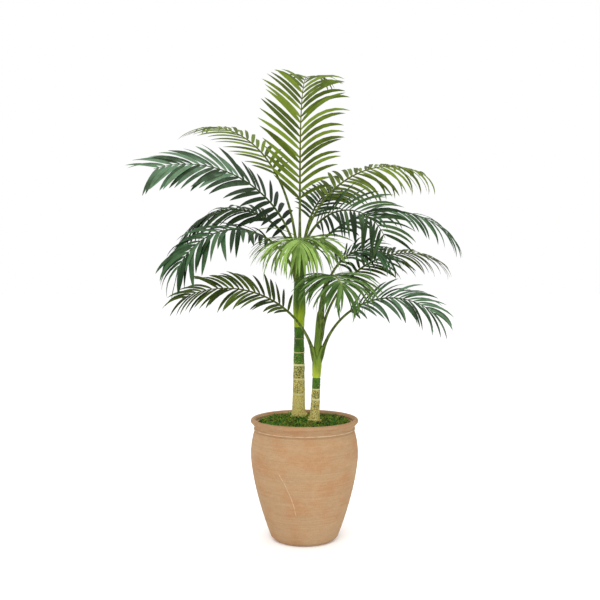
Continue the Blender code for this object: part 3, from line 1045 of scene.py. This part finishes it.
@dataclass
class Cane:
    """A ringed stem. Its ends come from the node.

    Attributes:
        model: The stem's node.
        lip: Height of the pot's lip.
        rings: Its ring scars, from the foot up.
        ages: How old each stretch between rings looks at its foot and its head: 1 tan, 0 green.
        foot_radius: Radius where it leaves the moss.
        top_radius: Radius under the crownshaft.
        knobs: Root tips around its foot.
        seed: Where its small differences come from.
        ring_proud: How far a ring stands out; ring_groove is how deep the groove above it is.
        foot_spread: How much wider than foot_radius it is at the moss.
        sides: Corners of each ring.
        low: Its lower end, and high its upper one.
    """

    model: bpy.types.Object
    lip: float
    rings: tuple[Ring, ...]
    ages: tuple[tuple[float, float], ...]
    foot_radius: float
    top_radius: float
    knobs: int
    seed: int
    sides: int = 40
    ring_proud: float = 0.0009
    ring_groove: float = 0.0006
    foot_spread: float = 0.0024
    low: Vector = field(init=False)
    high: Vector = field(init=False)

    def __post_init__(self) -> None:
        """Read the ends from the node."""
        self.low, self.high = ring_ends(self.model)

    def centre(self, height: float) -> Vector:
        """A point on the axis at a height."""
        return self.low.lerp(self.high, (height - self.low.z) / (self.high.z - self.low.z))

    def radius(self, height: float) -> float:
        """The stem's radius, with its rings standing proud and its foot spreading.

        Args:
            height: Where, above the pot's base.

        Returns:
            The radius there.
        """
        rise = height - self.lip
        part = min(max(rise / (self.high.z - self.lip), 0.0), 1.0)
        plain = self.foot_radius + (self.top_radius - self.foot_radius) * part
        for ring in self.rings:
            above = rise - ring.rise
            plain += self.ring_proud * math.exp(-((above / (ring.half_height * 0.8)) ** 2))
            plain -= self.ring_groove * math.exp(-(((above - 2 * ring.half_height) / 0.0020) ** 2))
        return plain + self.foot_spread * math.exp(-max(rise, 0.0) / 0.012)

    def scar(self, height: float) -> float:
        """How much of a ring scar shows at a height, from 0 to 1."""
        rise = height - self.lip
        return max(
            ring.paleness * math.exp(-(((rise - ring.rise) / ring.half_height) ** 4)) for ring in self.rings
        )

    def age(self, height: float) -> float:
        """How old the bark looks.

        Args:
            height: Where, above the pot's base.

        Returns:
            A number from 0, green, to 1, tan.
        """
        rise = max(height - self.lip, 0.0)
        marks = [0.0, *(ring.rise for ring in self.rings), self.high.z - self.lip]
        stretch = min(sum(mark <= rise for mark in marks[1:]), len(self.ages) - 1)
        foot, head = marks[stretch], marks[stretch + 1]
        old, young = self.ages[stretch]
        return old + (young - old) * min((rise - foot) / (head - foot), 1.0)

    def root_knobs(self) -> list[bpy.types.Object]:
        """Short root tips that bulge from the stem just above the moss.

        Returns:
            The root tips.
        """
        rng = random.Random(self.seed)
        made = []
        for index in range(self.knobs):
            drop_selection()
            bpy.ops.mesh.primitive_ico_sphere_add(subdivisions=2, radius=1.0)
            knob = bpy.context.object
            angle = index * 2 * math.pi / self.knobs + rng.uniform(-0.2, 0.2)
            height = self.lip - 0.002 + rng.uniform(-0.004, 0.008)
            out = self.radius(height) + 0.0004
            spot = self.centre(height) + Vector((math.cos(angle) * out, math.sin(angle) * out, 0))
            size = rng.uniform(0.0026, 0.0042)
            shape = Matrix.Translation(spot) @ Matrix.Rotation(angle, 4, "Z")
            shape @= Matrix.Rotation(0.9, 4, "Y") @ Matrix.Diagonal((size, size, size * 1.8, 1))
            knob.data.transform(shape)
            made.append(knob)
        return made

    def build(self) -> None:
        """Raise the stem, set its knobs and dress it."""
        name = self.model.name
        start = self.lip - 0.030
        count = round((self.high.z - start) / 0.0018)
        heights = [start + (self.high.z - start) * step / count for step in range(count + 1)]
        profile = [(self.radius(height), height) for height in heights]
        stem = thrown(name + "_stem", profile, self.sides, self.centre)
        for seed, (amount, grain) in enumerate(((0.0012, 0.020), (0.0008, 0.006), (0.0005, 0.0025))):
            roughened(stem, amount, grain, self.seed + seed)
        stem = joined([stem, *self.root_knobs()], name + "_stem")
        places = [vertex.co.z for vertex in stem.data.vertices]
        number_layer(stem, "scar", [self.scar(height) for height in places])
        number_layer(stem, "age", [self.age(height) for height in places])
        smooth(stem, 60)
        present(stem, CaneSkin(name).material(), name)


@dataclass
class Crownshaft:
    """The tube of leaf sheaths on top of a cane: a smooth shaft with one oblique sleeve for each frond.

    Attributes:
        model: The shaft's node.
        foot_radius: Radius at its foot.
        swell_radius: Radius where it is widest.
        tip_radius: Radius at its top.
        skin: What it is finished with.
        flare: How far a sleeve's mouth stands off where its stalk comes out.
        swell_share: Where it is widest, as a share of its length.
        sides: Corners of each ring.
        low: Its lower end, and high its upper one.
    """

    model: bpy.types.Object
    foot_radius: float
    swell_radius: float
    tip_radius: float
    skin: SheathSkin
    flare: float
    swell_share: float = 0.26
    sides: int = 40
    low: Vector = field(init=False)
    high: Vector = field(init=False)

    def __post_init__(self) -> None:
        """Read the ends from the node."""
        self.low, self.high = ring_ends(self.model)

    def centre(self, share: float) -> Vector:
        """A point on the axis at a share of the length."""
        return self.low.lerp(self.high, share)

    def radius(self, share: float) -> float:
        """The shaft's radius: a swollen foot, then a slow taper.

        Args:
            share: Where, as a share of its length.

        Returns:
            The radius there.
        """
        share = min(max(share, 0.0), 1.0)
        if share < self.swell_share:
            part = math.sin(share / self.swell_share * math.pi / 2)
            return self.foot_radius + (self.swell_radius - self.foot_radius) * part
        part = (share - self.swell_share) / (1 - self.swell_share)
        return self.swell_radius + (self.tip_radius - self.swell_radius) * part**1.3

    def sleeve(self, frond: Frond, layer: int) -> bpy.types.Object:
        """The sheath of one frond: a thin tube with an oblique mouth, high where the stalk leaves it.

        Args:
            frond: The frond that it belongs to.
            layer: How many sleeves lie under it.

        Returns:
            The closed thin-walled sleeve.
        """
        root = min(frond.root, 0.97)
        start = max(root - 0.50, 0.004 * layer)
        lift = 0.0003 + 0.00022 * layer
        heading = math.radians(frond.heading)
        rows, sides = 22, 32
        drop_selection()
        bpy.ops.mesh.primitive_cylinder_add(vertices=sides, radius=1.0, depth=1.0, end_fill_type="NOTHING")
        sleeve = bpy.context.object
        bpy.ops.object.mode_set(mode="EDIT")
        for turn in range(1, rows):
            bpy.ops.mesh.select_all(action="SELECT")
            bpy.ops.mesh.bisect(plane_co=(0, 0, turn / rows - 0.5), plane_no=(0, 0, 1))
        bpy.ops.object.mode_set(mode="OBJECT")
        points = points_of(sleeve)
        edges = np.zeros(len(points))
        length = (self.high - self.low).length
        for index, (x, y, z) in enumerate(points):
            angle = math.atan2(y, x)
            facing = (1 + math.cos(angle - heading)) / 2
            aside = abs(math.remainder(angle - heading, 2 * math.pi))
            lobe = 0.010 * math.exp(-((aside - 0.75) / 0.3) ** 2)
            mouth = root + (0.022 * facing**2 + lobe - 0.075 * (1 - facing)) / length
            part = z + 0.5
            share = start + (mouth - start) * part
            flare = self.flare * (max(0.0, part - 0.62) / 0.38) ** 1.4 * facing**3
            across = self.radius(share) + lift * min(1.0, part * 4 + 0.2) + flare
            out = Vector((math.cos(angle), math.sin(angle), 0)) * across
            points[index] = self.centre(share) + out
            edges[index] = max(0.0, (part - 0.95) / 0.05)
        move_points(sleeve, points)
        number_layer(sleeve, "edge", edges)
        take(sleeve)
        wall = sleeve.modifiers.new("wall", "SOLIDIFY")
        wall.thickness = 0.0006
        wall.offset = 0.0
        bpy.ops.object.modifier_apply(modifier="wall")
        return settle(sleeve, "sleeve")

    def build(self, fronds: Sequence[Frond]) -> None:
        """Raise the shaft, wrap its sleeves and dress it.

        Args:
            fronds: The fronds that grow from it.
        """
        name = self.model.name
        count = 60
        profile = [(self.radius(step / count), self.centre(step / count).z) for step in range(count + 1)]
        base = self.low.z
        tall = self.high.z - base
        shaft = thrown("shaft", profile, self.sides, lambda height: self.centre((height - base) / tall))
        number_layer(shaft, "edge", np.zeros(len(shaft.data.vertices)))
        below = sorted((frond for frond in fronds if frond.root < 0.99), key=lambda frond: -frond.root)
        sleeves = [self.sleeve(frond, layer) for layer, frond in enumerate(below)]
        piece = joined([shaft, *sleeves], name + "_sheaths")
        smooth(piece, 50)
        present(piece, self.skin.material(), name)


# The fronds.


@dataclass
class LeafletBlank:
    """The leaflet that all leaflets are copied from: a keeled blade of length 1 and width 1 along +Y.

    Attributes:
        stations: (place along it, width there) from its root to near its tip.
        thickness: How thick it is at its middle line.
        fold: How far its edges rise for each unit across.
    """

    stations: tuple[tuple[float, float], ...] = (
        (0.0, 0.26), (0.04, 0.48), (0.11, 0.78), (0.23, 0.96), (0.40, 1.0),
        (0.57, 0.95), (0.73, 0.79), (0.87, 0.48), (0.96, 0.18),
    )
    thickness: float = 0.055
    fold: float = 0.20

    def build(self) -> bpy.types.Object:
        """Draw the blade out of a small diamond, fold it and mark its faces.

        Returns:
            The blank, with a UV map across and along it, and its underside marked.
        """
        drop_selection()
        bpy.ops.mesh.primitive_circle_add(
            vertices=4, radius=0.5, fill_type="NGON", rotation=(math.pi / 2, 0, 0)
        )
        blade = bpy.context.object
        bpy.ops.object.transform_apply(location=False, rotation=True, scale=False)
        open_faces()
        first = self.stations[0][1]
        bpy.ops.transform.resize(value=(first, 1, self.thickness * 1.6), center_override=(0, 0, 0))
        for (low, narrow), (high, wide) in zip(self.stations, self.stations[1:]):
            thin = 0.92 if low > 0 else 0.85
            draw_out((0, high - low, 0), (wide / narrow, 1, thin), (0, high, 0))
        last = 1.0 - self.stations[-1][0]
        bpy.ops.mesh.extrude_region_move(TRANSFORM_OT_translate={"value": (0, last, 0)})
        bpy.ops.mesh.merge(type="CENTER")
        close_shape()
        mesh = blade.data
        layer = mesh.uv_layers.new(name="leaf")
        under = mesh.attributes.new("under", "FLOAT", "CORNER")
        for face in mesh.polygons:
            for loop in face.loop_indices:
                spot = mesh.vertices[mesh.loops[loop].vertex_index].co
                side = 0.5 if abs(spot.x) < 1e-4 else (1.0 if spot.x > 0 else 0.0)
                layer.data[loop].uv = (side, min(max(spot.y, 0.0), 1.0))
                under.data[loop].value = 1.0 if face.normal.z < 0 else 0.0
        for vertex in mesh.vertices:
            vertex.co.z += abs(vertex.co.x) * self.fold
        settle(blade, "leaflet_blank")
        smooth(blade, 50)
        return blade


@dataclass(frozen=True)
class Bounds:
    """The box that the looks stay inside.

    Attributes:
        low: Its lowest corner.
        high: Its highest corner.
        margin: How far inside it they stay.
    """

    low: np.ndarray
    high: np.ndarray
    margin: float = 0.0004

    def holds(self, points: np.ndarray) -> bool:
        """Whether every point lies inside."""
        return bool((points > self.low + self.margin).all() and (points < self.high - self.margin).all())


@dataclass
class Bend:
    """How one leaflet lies.

    Attributes:
        root: Where it leaves the midrib.
        start: The way it sets out.
        across: Its width's direction.
        up: Its upper side's direction.
        length: Root to tip.
        width: Its widest.
        droop: How far its tip has turned down, in radians.
        twist: How far its tip is turned about itself, in radians.
        sway: How far it curves sideways, in radians.
    """

    root: Vector
    start: Vector
    across: Vector
    up: Vector
    length: float
    width: float
    droop: float
    twist: float
    sway: float

    def bent(self, shape: np.ndarray) -> np.ndarray:
        """Lay the blank's points along the leaflet's curve.

        Args:
            shape: The blank's points, which run from 0 to 1 along Y.

        Returns:
            The points in place.
        """
        axis = self.start.cross(Vector((0, 0, -1)))
        hang = self.droop * min(1.0, axis.length * 1.2)
        axis = axis.normalized() if axis.length > 1e-3 else self.across
        count = 20

        def turn(share: float) -> Matrix:
            """The leaflet's turn at a share of its length."""
            bow = Matrix.Rotation(hang * share**1.35, 3, axis)
            return bow @ Matrix.Rotation(self.sway * share, 3, self.up)

        centres = [self.root]
        for step in range(count):
            way = turn((step + 0.5) / count) @ self.start
            centres.append(centres[-1] + way * (self.length / count))
        placed = np.empty_like(shape)
        for index, (x, y, z) in enumerate(shape):
            where = min(max(y, 0.0), 1.0) * count
            low = min(int(where), count - 1)
            centre = centres[low].lerp(centres[low + 1], where - low)
            spin = Matrix.Rotation(self.twist * y, 3, self.start)
            offset = (self.across * x + self.up * z) * self.width
            placed[index] = centre + turn(min(max(y, 0.0), 1.0)) @ (spin @ offset)
        return placed


@dataclass
class Frond:
    """One leaf: a stalk, then a midrib with leaflets on both sides.

    Attributes:
        bounds: The box that it stays inside.
        node: The frond's node.
        shaft: The crownshaft that it grows from.
        root: Height of its foot along the crownshaft, as a share of the shaft's length.
        heading: Compass direction in degrees: 0 right, 90 back, 180 left, 270 front.
        rise: Degrees above level that it sets out at.
        bend: Degrees that it has turned down by at its tip, and late, how late it does so.
        stalk: Bare length.
        blade: Length with leaflets.
        leaflet: Length of its longest leaflets.
        pairs: Leaflets on each side.
        spread: Degrees between leaflet and midrib halfway along.
        roll: Degrees that the blade is turned about its midrib.
        vee: Degrees that leaflets are raised above the blade's plane.
        droop: Degrees that leaflet tips hang, on the left and on the right.
        green: Which green it is.
        width: Its widest leaflets' width.
        curl: Degrees that the leaflets at its tip hang more than the others.
        wild: How uneven its leaflets are.
        splay: How much wider than halfway along the leaflets at its foot spread.
        close: The spread at its tip, as a share of that halfway along.
        shadow: How much darker its leaflets are painted at its foot, as shade from the leaves over them.
        foot_half: Half of the stalk's width where it leaves the shaft.
        steps: Straight pieces that the midrib's curve is summed from.
        rib_radius: The midrib's radius at the blade's foot, and tip_radius at its tip.
        swell: How much stouter the stalk is at its foot, which fades over swell_reach.
        lengths: Leaflet lengths at shares of the blade, against the longest.
        points: The midrib's points, from its foot to its tip.
    """

    bounds: Bounds
    node: str
    shaft: Crownshaft
    root: float
    heading: float
    rise: float
    bend: float
    late: float
    stalk: float
    blade: float
    leaflet: float
    pairs: int
    spread: float
    roll: float
    vee: float
    droop: tuple[float, float]
    green: Green
    width: float
    curl: float = 0.0
    wild: float = 0.6
    splay: float = 1.25
    close: float = 0.42
    shadow: float = 0.0
    foot_half: float = 0.0042
    steps: int = 64
    rib_radius: float = 0.0041
    tip_radius: float = 0.0009
    swell: float = 0.0050
    swell_reach: float = 0.034
    lengths: tuple[tuple[float, float], ...] = (
        (0.0, 0.62), (0.12, 0.86), (0.35, 1.0), (0.6, 0.95), (0.85, 0.82), (1.0, 0.64),
    )
    points: list[Vector] = field(init=False)

    def __post_init__(self) -> None:
        """Find the foot on the crownshaft and sum the midrib's curve up from there."""
        compass = math.radians(self.heading)
        top = self.root >= 1
        out = 0.0 if top else self.shaft.radius(self.root) + self.foot_half / 2
        foot = self.shaft.centre(self.root) + Vector((math.cos(compass) * out, math.sin(compass) * out, 0))
        if top:
            foot.z -= self.foot_half
        self.points = [foot]
        for step in range(self.steps):
            way = self.direction((step + 0.5) / self.steps)
            self.points.append(self.points[-1] + way * self.length / self.steps)

    @property
    def length(self) -> float:
        """Stalk and blade together."""
        return self.stalk + self.blade

    def direction(self, share: float) -> Vector:
        """The way that the midrib runs.

        Args:
            share: Where, as a share of its length.

        Returns:
            The direction there, of length 1.
        """
        climb = math.radians(self.rise - self.bend * share**self.late)
        compass = math.radians(self.heading)
        return Vector((
            math.cos(climb) * math.cos(compass),
            math.cos(climb) * math.sin(compass),
            math.sin(climb),
        ))

    def place(self, share: float) -> Vector:
        """A point on the midrib.

        Args:
            share: Where, as a share of its length.

        Returns:
            The point.
        """
        where = min(max(share, 0.0), 1.0) * self.steps
        low = min(int(where), self.steps - 1)
        return self.points[low].lerp(self.points[low + 1], where - low)

    def axes(self, share: float) -> tuple[Vector, Vector, Vector]:
        """The blade's own directions.

        Args:
            share: Where, as a share of the midrib's length.

        Returns:
            The midrib's tangent, its left side and the blade's upper normal.
        """
        tangent = self.direction(share)
        compass = math.radians(self.heading)
        level = Vector((-math.sin(compass), math.cos(compass), 0.0))
        side = Matrix.Rotation(math.radians(self.roll), 3, tangent) @ level
        return tangent, side, tangent.cross(side)

    def leaflet_length(self, share: float) -> float:
        """Length of a leaflet at a share of the blade."""
        return self.leaflet * float(np.interp(share, *zip(*self.lengths)))

    def leaflet_angle(self, share: float) -> float:
        """Degrees between a leaflet and the midrib at a share of the blade."""
        spreads = (self.splay, 1.06, max(0.85, self.close), self.close)
        return self.spread * float(np.interp(share, (0, 0.35, 0.7, 1.0), spreads))

    def leaflet_twin(
        self, blank: bpy.types.Object, share: float, hand: int, rng: random.Random
    ) -> bpy.types.Object:
        """Copy the blank and bend the copy along its place on the blade.

        Args:
            blank: The leaflet that is copied.
            share: Its root's place, as a share of the blade.
            hand: 1 on the left and -1 on the right.
            rng: Where its small differences come from.

        Returns:
            The placed leaflet.
        """
        whole = (self.stalk + share * self.blade) / self.length
        tangent, side, normal = self.axes(whole)
        root = self.place(whole) + side * hand * 0.0012
        spread = math.radians(self.leaflet_angle(share) + rng.gauss(0, 4.0) * self.wild)
        lift = math.radians(self.vee + rng.gauss(0, 7.0) * self.wild)
        outward = side * hand * math.cos(lift) + normal * math.sin(lift)
        start = (tangent * math.cos(spread) + outward * math.sin(spread)).normalized()
        up = tangent.cross(start).normalized() * hand
        length = self.leaflet_length(share)
        hang = self.droop[0 if hand > 0 else 1]
        bend = Bend(
            root=root,
            start=start,
            across=start.cross(up),
            up=up,
            length=length * rng.uniform(0.88, 1.0),
            width=self.width * rng.uniform(0.86, 1.08) * min(1.0, 0.68 + 0.32 * length / self.leaflet),
            droop=math.radians(
                hang * rng.uniform(0.75, 1.15) * min(1.0, 0.6 + share) + self.curl * share**4
            ),
            twist=math.radians(rng.gauss(0, 24) * self.wild),
            sway=math.radians(rng.gauss(0, 7) * self.wild),
        )
        twin = linked("leaflet", blank.data.copy())
        shape = points_of(twin)
        points = bend.bent(shape)
        while not self.bounds.holds(points):
            bend.length *= 0.94
            points = bend.bent(shape)
        move_points(twin, points)
        # Painted shade: leaflets near the frond's foot get a lower tone, so they come out darker.
        tone = rng.random() - self.shadow * max(0.0, 1.0 - share / 0.45)
        number_layer(twin, "tone", np.full(len(points), tone))
        number_layer(twin, "stalk", np.zeros(len(points)))
        return twin

    def sheathed(self) -> list[Vector]:
        """The part of the stalk that its sheath hides.

        Returns:
            Points from deep in the shaft up to where the stalk comes out.
        """
        if self.root >= 1:
            return []
        foot, way = self.points[0], self.direction(0.0)
        depth = 0.055 / (self.shaft.high - self.shaft.low).length
        deep = self.shaft.centre(max(self.root - depth, 0.02))
        side = foot - self.shaft.centre(self.root)
        deep += side * 0.55
        bow = foot - way * 0.020
        return [
            deep * (1 - part) ** 2 + bow * (2 * part * (1 - part)) + foot * part**2
            for part in (0.0, 0.2, 0.4, 0.6, 0.8)
        ]

    def rib(self) -> bpy.types.Object:
        """The stalk and midrib: one round tapering rod, stout where it leaves its sheath.

        Returns:
            The rod.
        """
        curve = bpy.data.curves.new("rib", "CURVE")
        curve.dimensions = "3D"
        curve.bevel_depth = 1.0
        curve.bevel_resolution = 2
        curve.use_fill_caps = True
        spline = curve.splines.new("POLY")
        spots = [*self.sheathed(), *self.points]
        spline.points.add(len(spots) - 1)
        first = len(spots) - len(self.points)
        for index, (knot, spot) in enumerate(zip(spline.points, spots)):
            along = max(index - first, 0) / self.steps * self.length
            thin = max(0.0, (along - self.stalk) / self.blade)
            radius = self.rib_radius + (self.tip_radius - self.rib_radius) * thin**0.8
            radius += self.swell * math.exp(-along / self.swell_reach)
            knot.co = (*spot, 1.0)
            knot.radius = radius * min(1.0, 0.35 + index / max(first, 1))
        take(linked("rib", curve))
        bpy.ops.object.convert(target="MESH")
        rod = bpy.context.object
        number_layer(rod, "tone", np.full(len(rod.data.vertices), 0.5))
        reach = np.linalg.norm(points_of(rod) - np.array(self.points[0]), axis=1)
        number_layer(rod, "stalk", np.interp(reach / self.stalk, (0.8, 1.8), (1.0, 0.4)))
        bpy.ops.object.shade_smooth()
        return rod

    def build(self, blank: bpy.types.Object, material: bpy.types.Material, seed: int) -> None:
        """Set the leaflets on the rib and dress the frond.

        Args:
            blank: The leaflet that is copied.
            material: The frond's finish.
            seed: Where its small differences come from.
        """
        rng = random.Random(seed)
        pieces = []
        for pair in range(self.pairs):
            share = (pair + 0.25) / self.pairs
            for hand in (1, -1):
                offset = rng.uniform(-0.12, 0.12) / self.pairs
                pieces.append(self.leaflet_twin(blank, min(max(share + offset, 0), 1), hand, rng))
        pieces.append(self.rib())
        frond = joined(pieces, self.node + "_blade")
        present(frond, material, self.node)


def palm_parts(
    pot: Pot, nodes: dict[str, bpy.types.Object], bounds: Bounds
) -> tuple[list[Cane], list[Frond]]:
    """The palm's canes and fronds.

    Args:
        pot: The pot that they stand in.
        nodes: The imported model's nodes by name.
        bounds: The box that the looks stay inside.

    Returns:
        The canes, and the fronds on their crownshafts.
    """
    tall_rings = (
        Ring(0.075, 0.0045, 0.70), Ring(0.127, 0.0022, 1.0), Ring(0.176, 0.0042, 0.90),
        Ring(0.219, 0.0018, 0.85), Ring(0.268, 0.0030, 0.40),
    )
    short_rings = (Ring(0.069, 0.0040, 0.90), Ring(0.104, 0.0020, 1.0))
    tall_ages = ((1.10, 0.90), (0.66, 0.58), (0.52, 0.44), (0.26, 0.12), (0.0, 0.0), (0.0, 0.0))
    short_ages = ((0.78, 0.58), (0.54, 0.46), (0.10, 0.0))
    canes = [
        Cane(nodes["tall_cane"], pot.top, tall_rings, tall_ages, 0.0228, 0.0166, 16, 5),
        Cane(nodes["short_cane"], pot.top, short_rings, short_ages, 0.0162, 0.0131, 13, 9),
    ]
    # The tall sheath's greens are darker than the short one's, partly as painted shade from the fronds over
    # it.
    tall_skin = SheathSkin(
        "tall_sheath", canes[0].high.z, 0.095,
        yellow=(0.290, 0.400, 0.014), green=(0.070, 0.130, 0.012), deep=(0.034, 0.075, 0.010),
    )
    short_skin = SheathSkin(
        "short_sheath", canes[1].high.z, 0.060,
        yellow=(0.380, 0.460, 0.035), green=(0.135, 0.215, 0.022), deep=(0.088, 0.150, 0.016),
    )
    tall = Crownshaft(nodes["tall_crownshaft"], 0.0175, 0.0193, 0.0078, tall_skin, 0.0022)
    short = Crownshaft(nodes["short_crownshaft"], 0.0128, 0.0146, 0.0064, short_skin, 0.0105)
    bright, fresh, olive, middle, teal, dark, shaded = Green
    rows = (
        # Each row: node, shaft, root, heading, rise, bend, late, stalk, blade, leaflet, pairs, spread;
        # roll, vee, droop, green, width, then curl, wild, splay, close and shadow as far as they are set.
        ("frond_top", tall, 1.00, 80, 89, 82, 4.7, 0.160, 0.520, 0.200, 22, 42,
         0, 10, (13, 72), bright, 0.0150, 40, 0.5, 1.2, 0.95),
        ("frond_left_high", tall, 0.92, 146, 83, 86, 1.35, 0.280, 0.430, 0.155, 16, 42,
         -18, -2, (28, 38), bright, 0.0150, 0, 0.5, 1.25, 0.75),
        ("frond_left_long", tall, 0.86, 198, 79, 98, 1.0, 0.110, 0.530, 0.190, 23, 48,
         -42, -2, (26, 28), teal, 0.0185, 0, 0.6, 1.9, 0.75, 1.9),
        ("frond_left_back", tall, 0.76, 168, 82, 135, 1.0, 0.180, 0.350, 0.165, 22, 45,
         -25, -5, (50, 50), shaded, 0.0150),
        ("frond_left_middle", tall, 0.62, 212, 69, 133, 1.0, 0.170, 0.390, 0.178, 21, 50,
         -20, 5, (48, 60), dark, 0.0180, 0, 1.2, 1.25, 0.60, 0.7),
        ("frond_front", tall, 0.85, 270, 42, 70, 1.0, 0.050, 0.230, 0.215, 36, 62,
         0, 0, (82, 82), fresh, 0.0105, 0, 1.3, 1.1, 0.08),
        ("frond_right_high", tall, 0.93, 30, 81, 98, 0.9, 0.200, 0.480, 0.165, 23, 50,
         30, -10, (40, 64), bright, 0.0155, 0, 0.6, 1.25, 0.65),
        ("frond_right_back", tall, 0.80, 55, 82, 90, 1.3, 0.160, 0.280, 0.130, 18, 45,
         20, 10, (50, 50), shaded, 0.0130),
        ("frond_right_upper", tall, 0.90, 325, 74, 140, 1.1, 0.110, 0.320, 0.170, 18, 50,
         45, 10, (44, 46), shaded, 0.0112, 0, 0.7, 1.4, 1.0, 0.8),
        ("frond_right_long", tall, 0.76, 355, 58, 108, 1.2, 0.120, 0.490, 0.138, 22, 44,
         20, -5, (46, 50), dark, 0.0125),
        ("frond_low_left", short, 0.40, 184, 77, 103, 0.9, 0.160, 0.380, 0.145, 21, 52,
         -35, 10, (38, 48), olive, 0.0130),
        ("frond_low_front", short, 0.95, 283, 80, 122, 1.0, 0.190, 0.175, 0.175, 38, 66,
         0, 0, (68, 68), middle, 0.0105, 0, 1.4, 1.1, 0.15),
        ("frond_low_right", short, 0.40, 345, 73, 114, 1.1, 0.170, 0.310, 0.150, 20, 48,
         30, 6, (46, 46), teal, 0.0112),
        ("frond_right_middle", short, 0.70, 25, 78, 101, 1.0, 0.230, 0.375, 0.140, 22, 48,
         25, 0, (40, 56), olive, 0.0120),
        ("frond_right_inner", short, 0.84, 356, 87, 130, 2.0, 0.210, 0.190, 0.140, 20, 48,
         25, 5, (60, 64), dark, 0.0098, 0, 1.2),
    )
    return canes, [Frond(bounds, *row) for row in rows]


# The studio.


@dataclass
class Studio:
    """A plain pale floor, soft lights and the camera.

    Attributes:
        camera_place: Where the camera stands.
        camera_down: Degrees that it looks below level.
        lens: Its focal length in millimetres.
        lights: (name, place, size, power) of each light.
        glow: How much light the floor gives of itself, so that it is as pale as what is behind it.
    """

    camera_place: tuple[float, float, float] = (-0.0153, -2.89, 0.91)
    camera_down: float = 1.887
    lens: float = 51.0
    lights: tuple[tuple[str, tuple[float, float, float], float, float], ...] = (
        ("key", (-0.5, -3.4, 3.4), 2.2, 84),
        ("fill", (3.0, -2.4, 1.8), 2.6, 12),
        ("top", (0.3, 0.8, 4.2), 2.4, 38),
    )
    glow: float = 0.12

    def camera(self) -> None:
        """Set the camera in front, at the canes' height, looking along +Y and a little down."""
        data = bpy.data.cameras.new("camera")
        data.lens = self.lens
        data.sensor_width = 36.0
        camera = linked("camera", data)
        camera.location = self.camera_place
        camera.rotation_euler = (math.radians(90 - self.camera_down), 0, 0)
        bpy.context.scene.camera = camera

    def floor(self) -> None:
        """A wide pale floor at the pot's base."""
        drop_selection()
        bpy.ops.mesh.primitive_plane_add(size=60, location=(0, 0, -0.0005))
        floor = settle(bpy.context.object, "floor")
        paint = Paint("floor")
        settings = {
            "Base Color": (0.95, 0.95, 0.95), "Roughness": 0.9, "Specular IOR Level": 0.1,
            "Emission Color": (1.0, 1.0, 1.0), "Emission Strength": self.glow,
        }
        for name, value in settings.items():
            paint.plug(paint.shader.inputs[name], value)
        floor.data.materials.append(paint.material)
        floor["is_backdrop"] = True

    def light(self, name: str, place: tuple[float, float, float], size: float, power: float) -> None:
        """A square soft light that looks at the palm's middle.

        Args:
            name: What it is called.
            place: Where it is.
            size: Its side, in metres.
            power: Its power, in watts.
        """
        data = bpy.data.lights.new(name, "AREA")
        data.size = size
        data.energy = power
        light = linked(name, data)
        light.location = place
        light.rotation_euler = (Vector((0, 0, 0.9)) - light.location).to_track_quat("-Z", "Y").to_euler()

    def build(self) -> None:
        """Set up the studio."""
        self.camera()
        self.floor()
        for light in self.lights:
            self.light(*light)
        world = bpy.data.worlds.new("studio")
        world.use_nodes = True
        background = world.node_tree.nodes["Background"]
        background.inputs["Color"].default_value = (1, 1, 1, 1)
        background.inputs["Strength"].default_value = 1.0
        bpy.context.scene.world = world
        bpy.context.scene.view_settings.view_transform = "Standard"


def corners() -> list[list[float]]:
    """The whole object's lowest and highest corner, as plain numbers."""
    return [[float(value) for value in corner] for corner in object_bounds()]


def main() -> None:
    """Load the frame, build the pieces in order and note the sizes."""
    logging.basicConfig(level=logging.INFO, format="%(name)s %(message)s")
    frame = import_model()
    cad_box = corners()
    Studio().build()
    pot = Pot()
    canes, fronds = palm_parts(pot, frame["nodes"], Bounds(*np.array(cad_box)))
    pot.build(Terracotta(pot.top, pot.lip_radius - pot.lip_width))
    soil = frame["nodes"]["soil"]
    soil.data.materials.clear()
    soil.data.materials.append(PottingSoil().material())
    LOG.info("soil: kept, with its own finish")
    MossBed(pot).build(MossGreen(), canes)
    for cane in canes:
        cane.build()
    shafts = {frond.shaft.model.name: frond.shaft for frond in fronds}
    for shaft in shafts.values():
        shaft.build([frond for frond in fronds if frond.shaft is shaft])
    blank = LeafletBlank().build()
    skins = {green: LeafSkin(green).material() for green in Green}
    for seed, frond in enumerate(fronds):
        frond.build(blank, skins[frond.green], 100 + seed)
    bpy.data.objects.remove(blank)


if __name__ == "__main__":
    main()
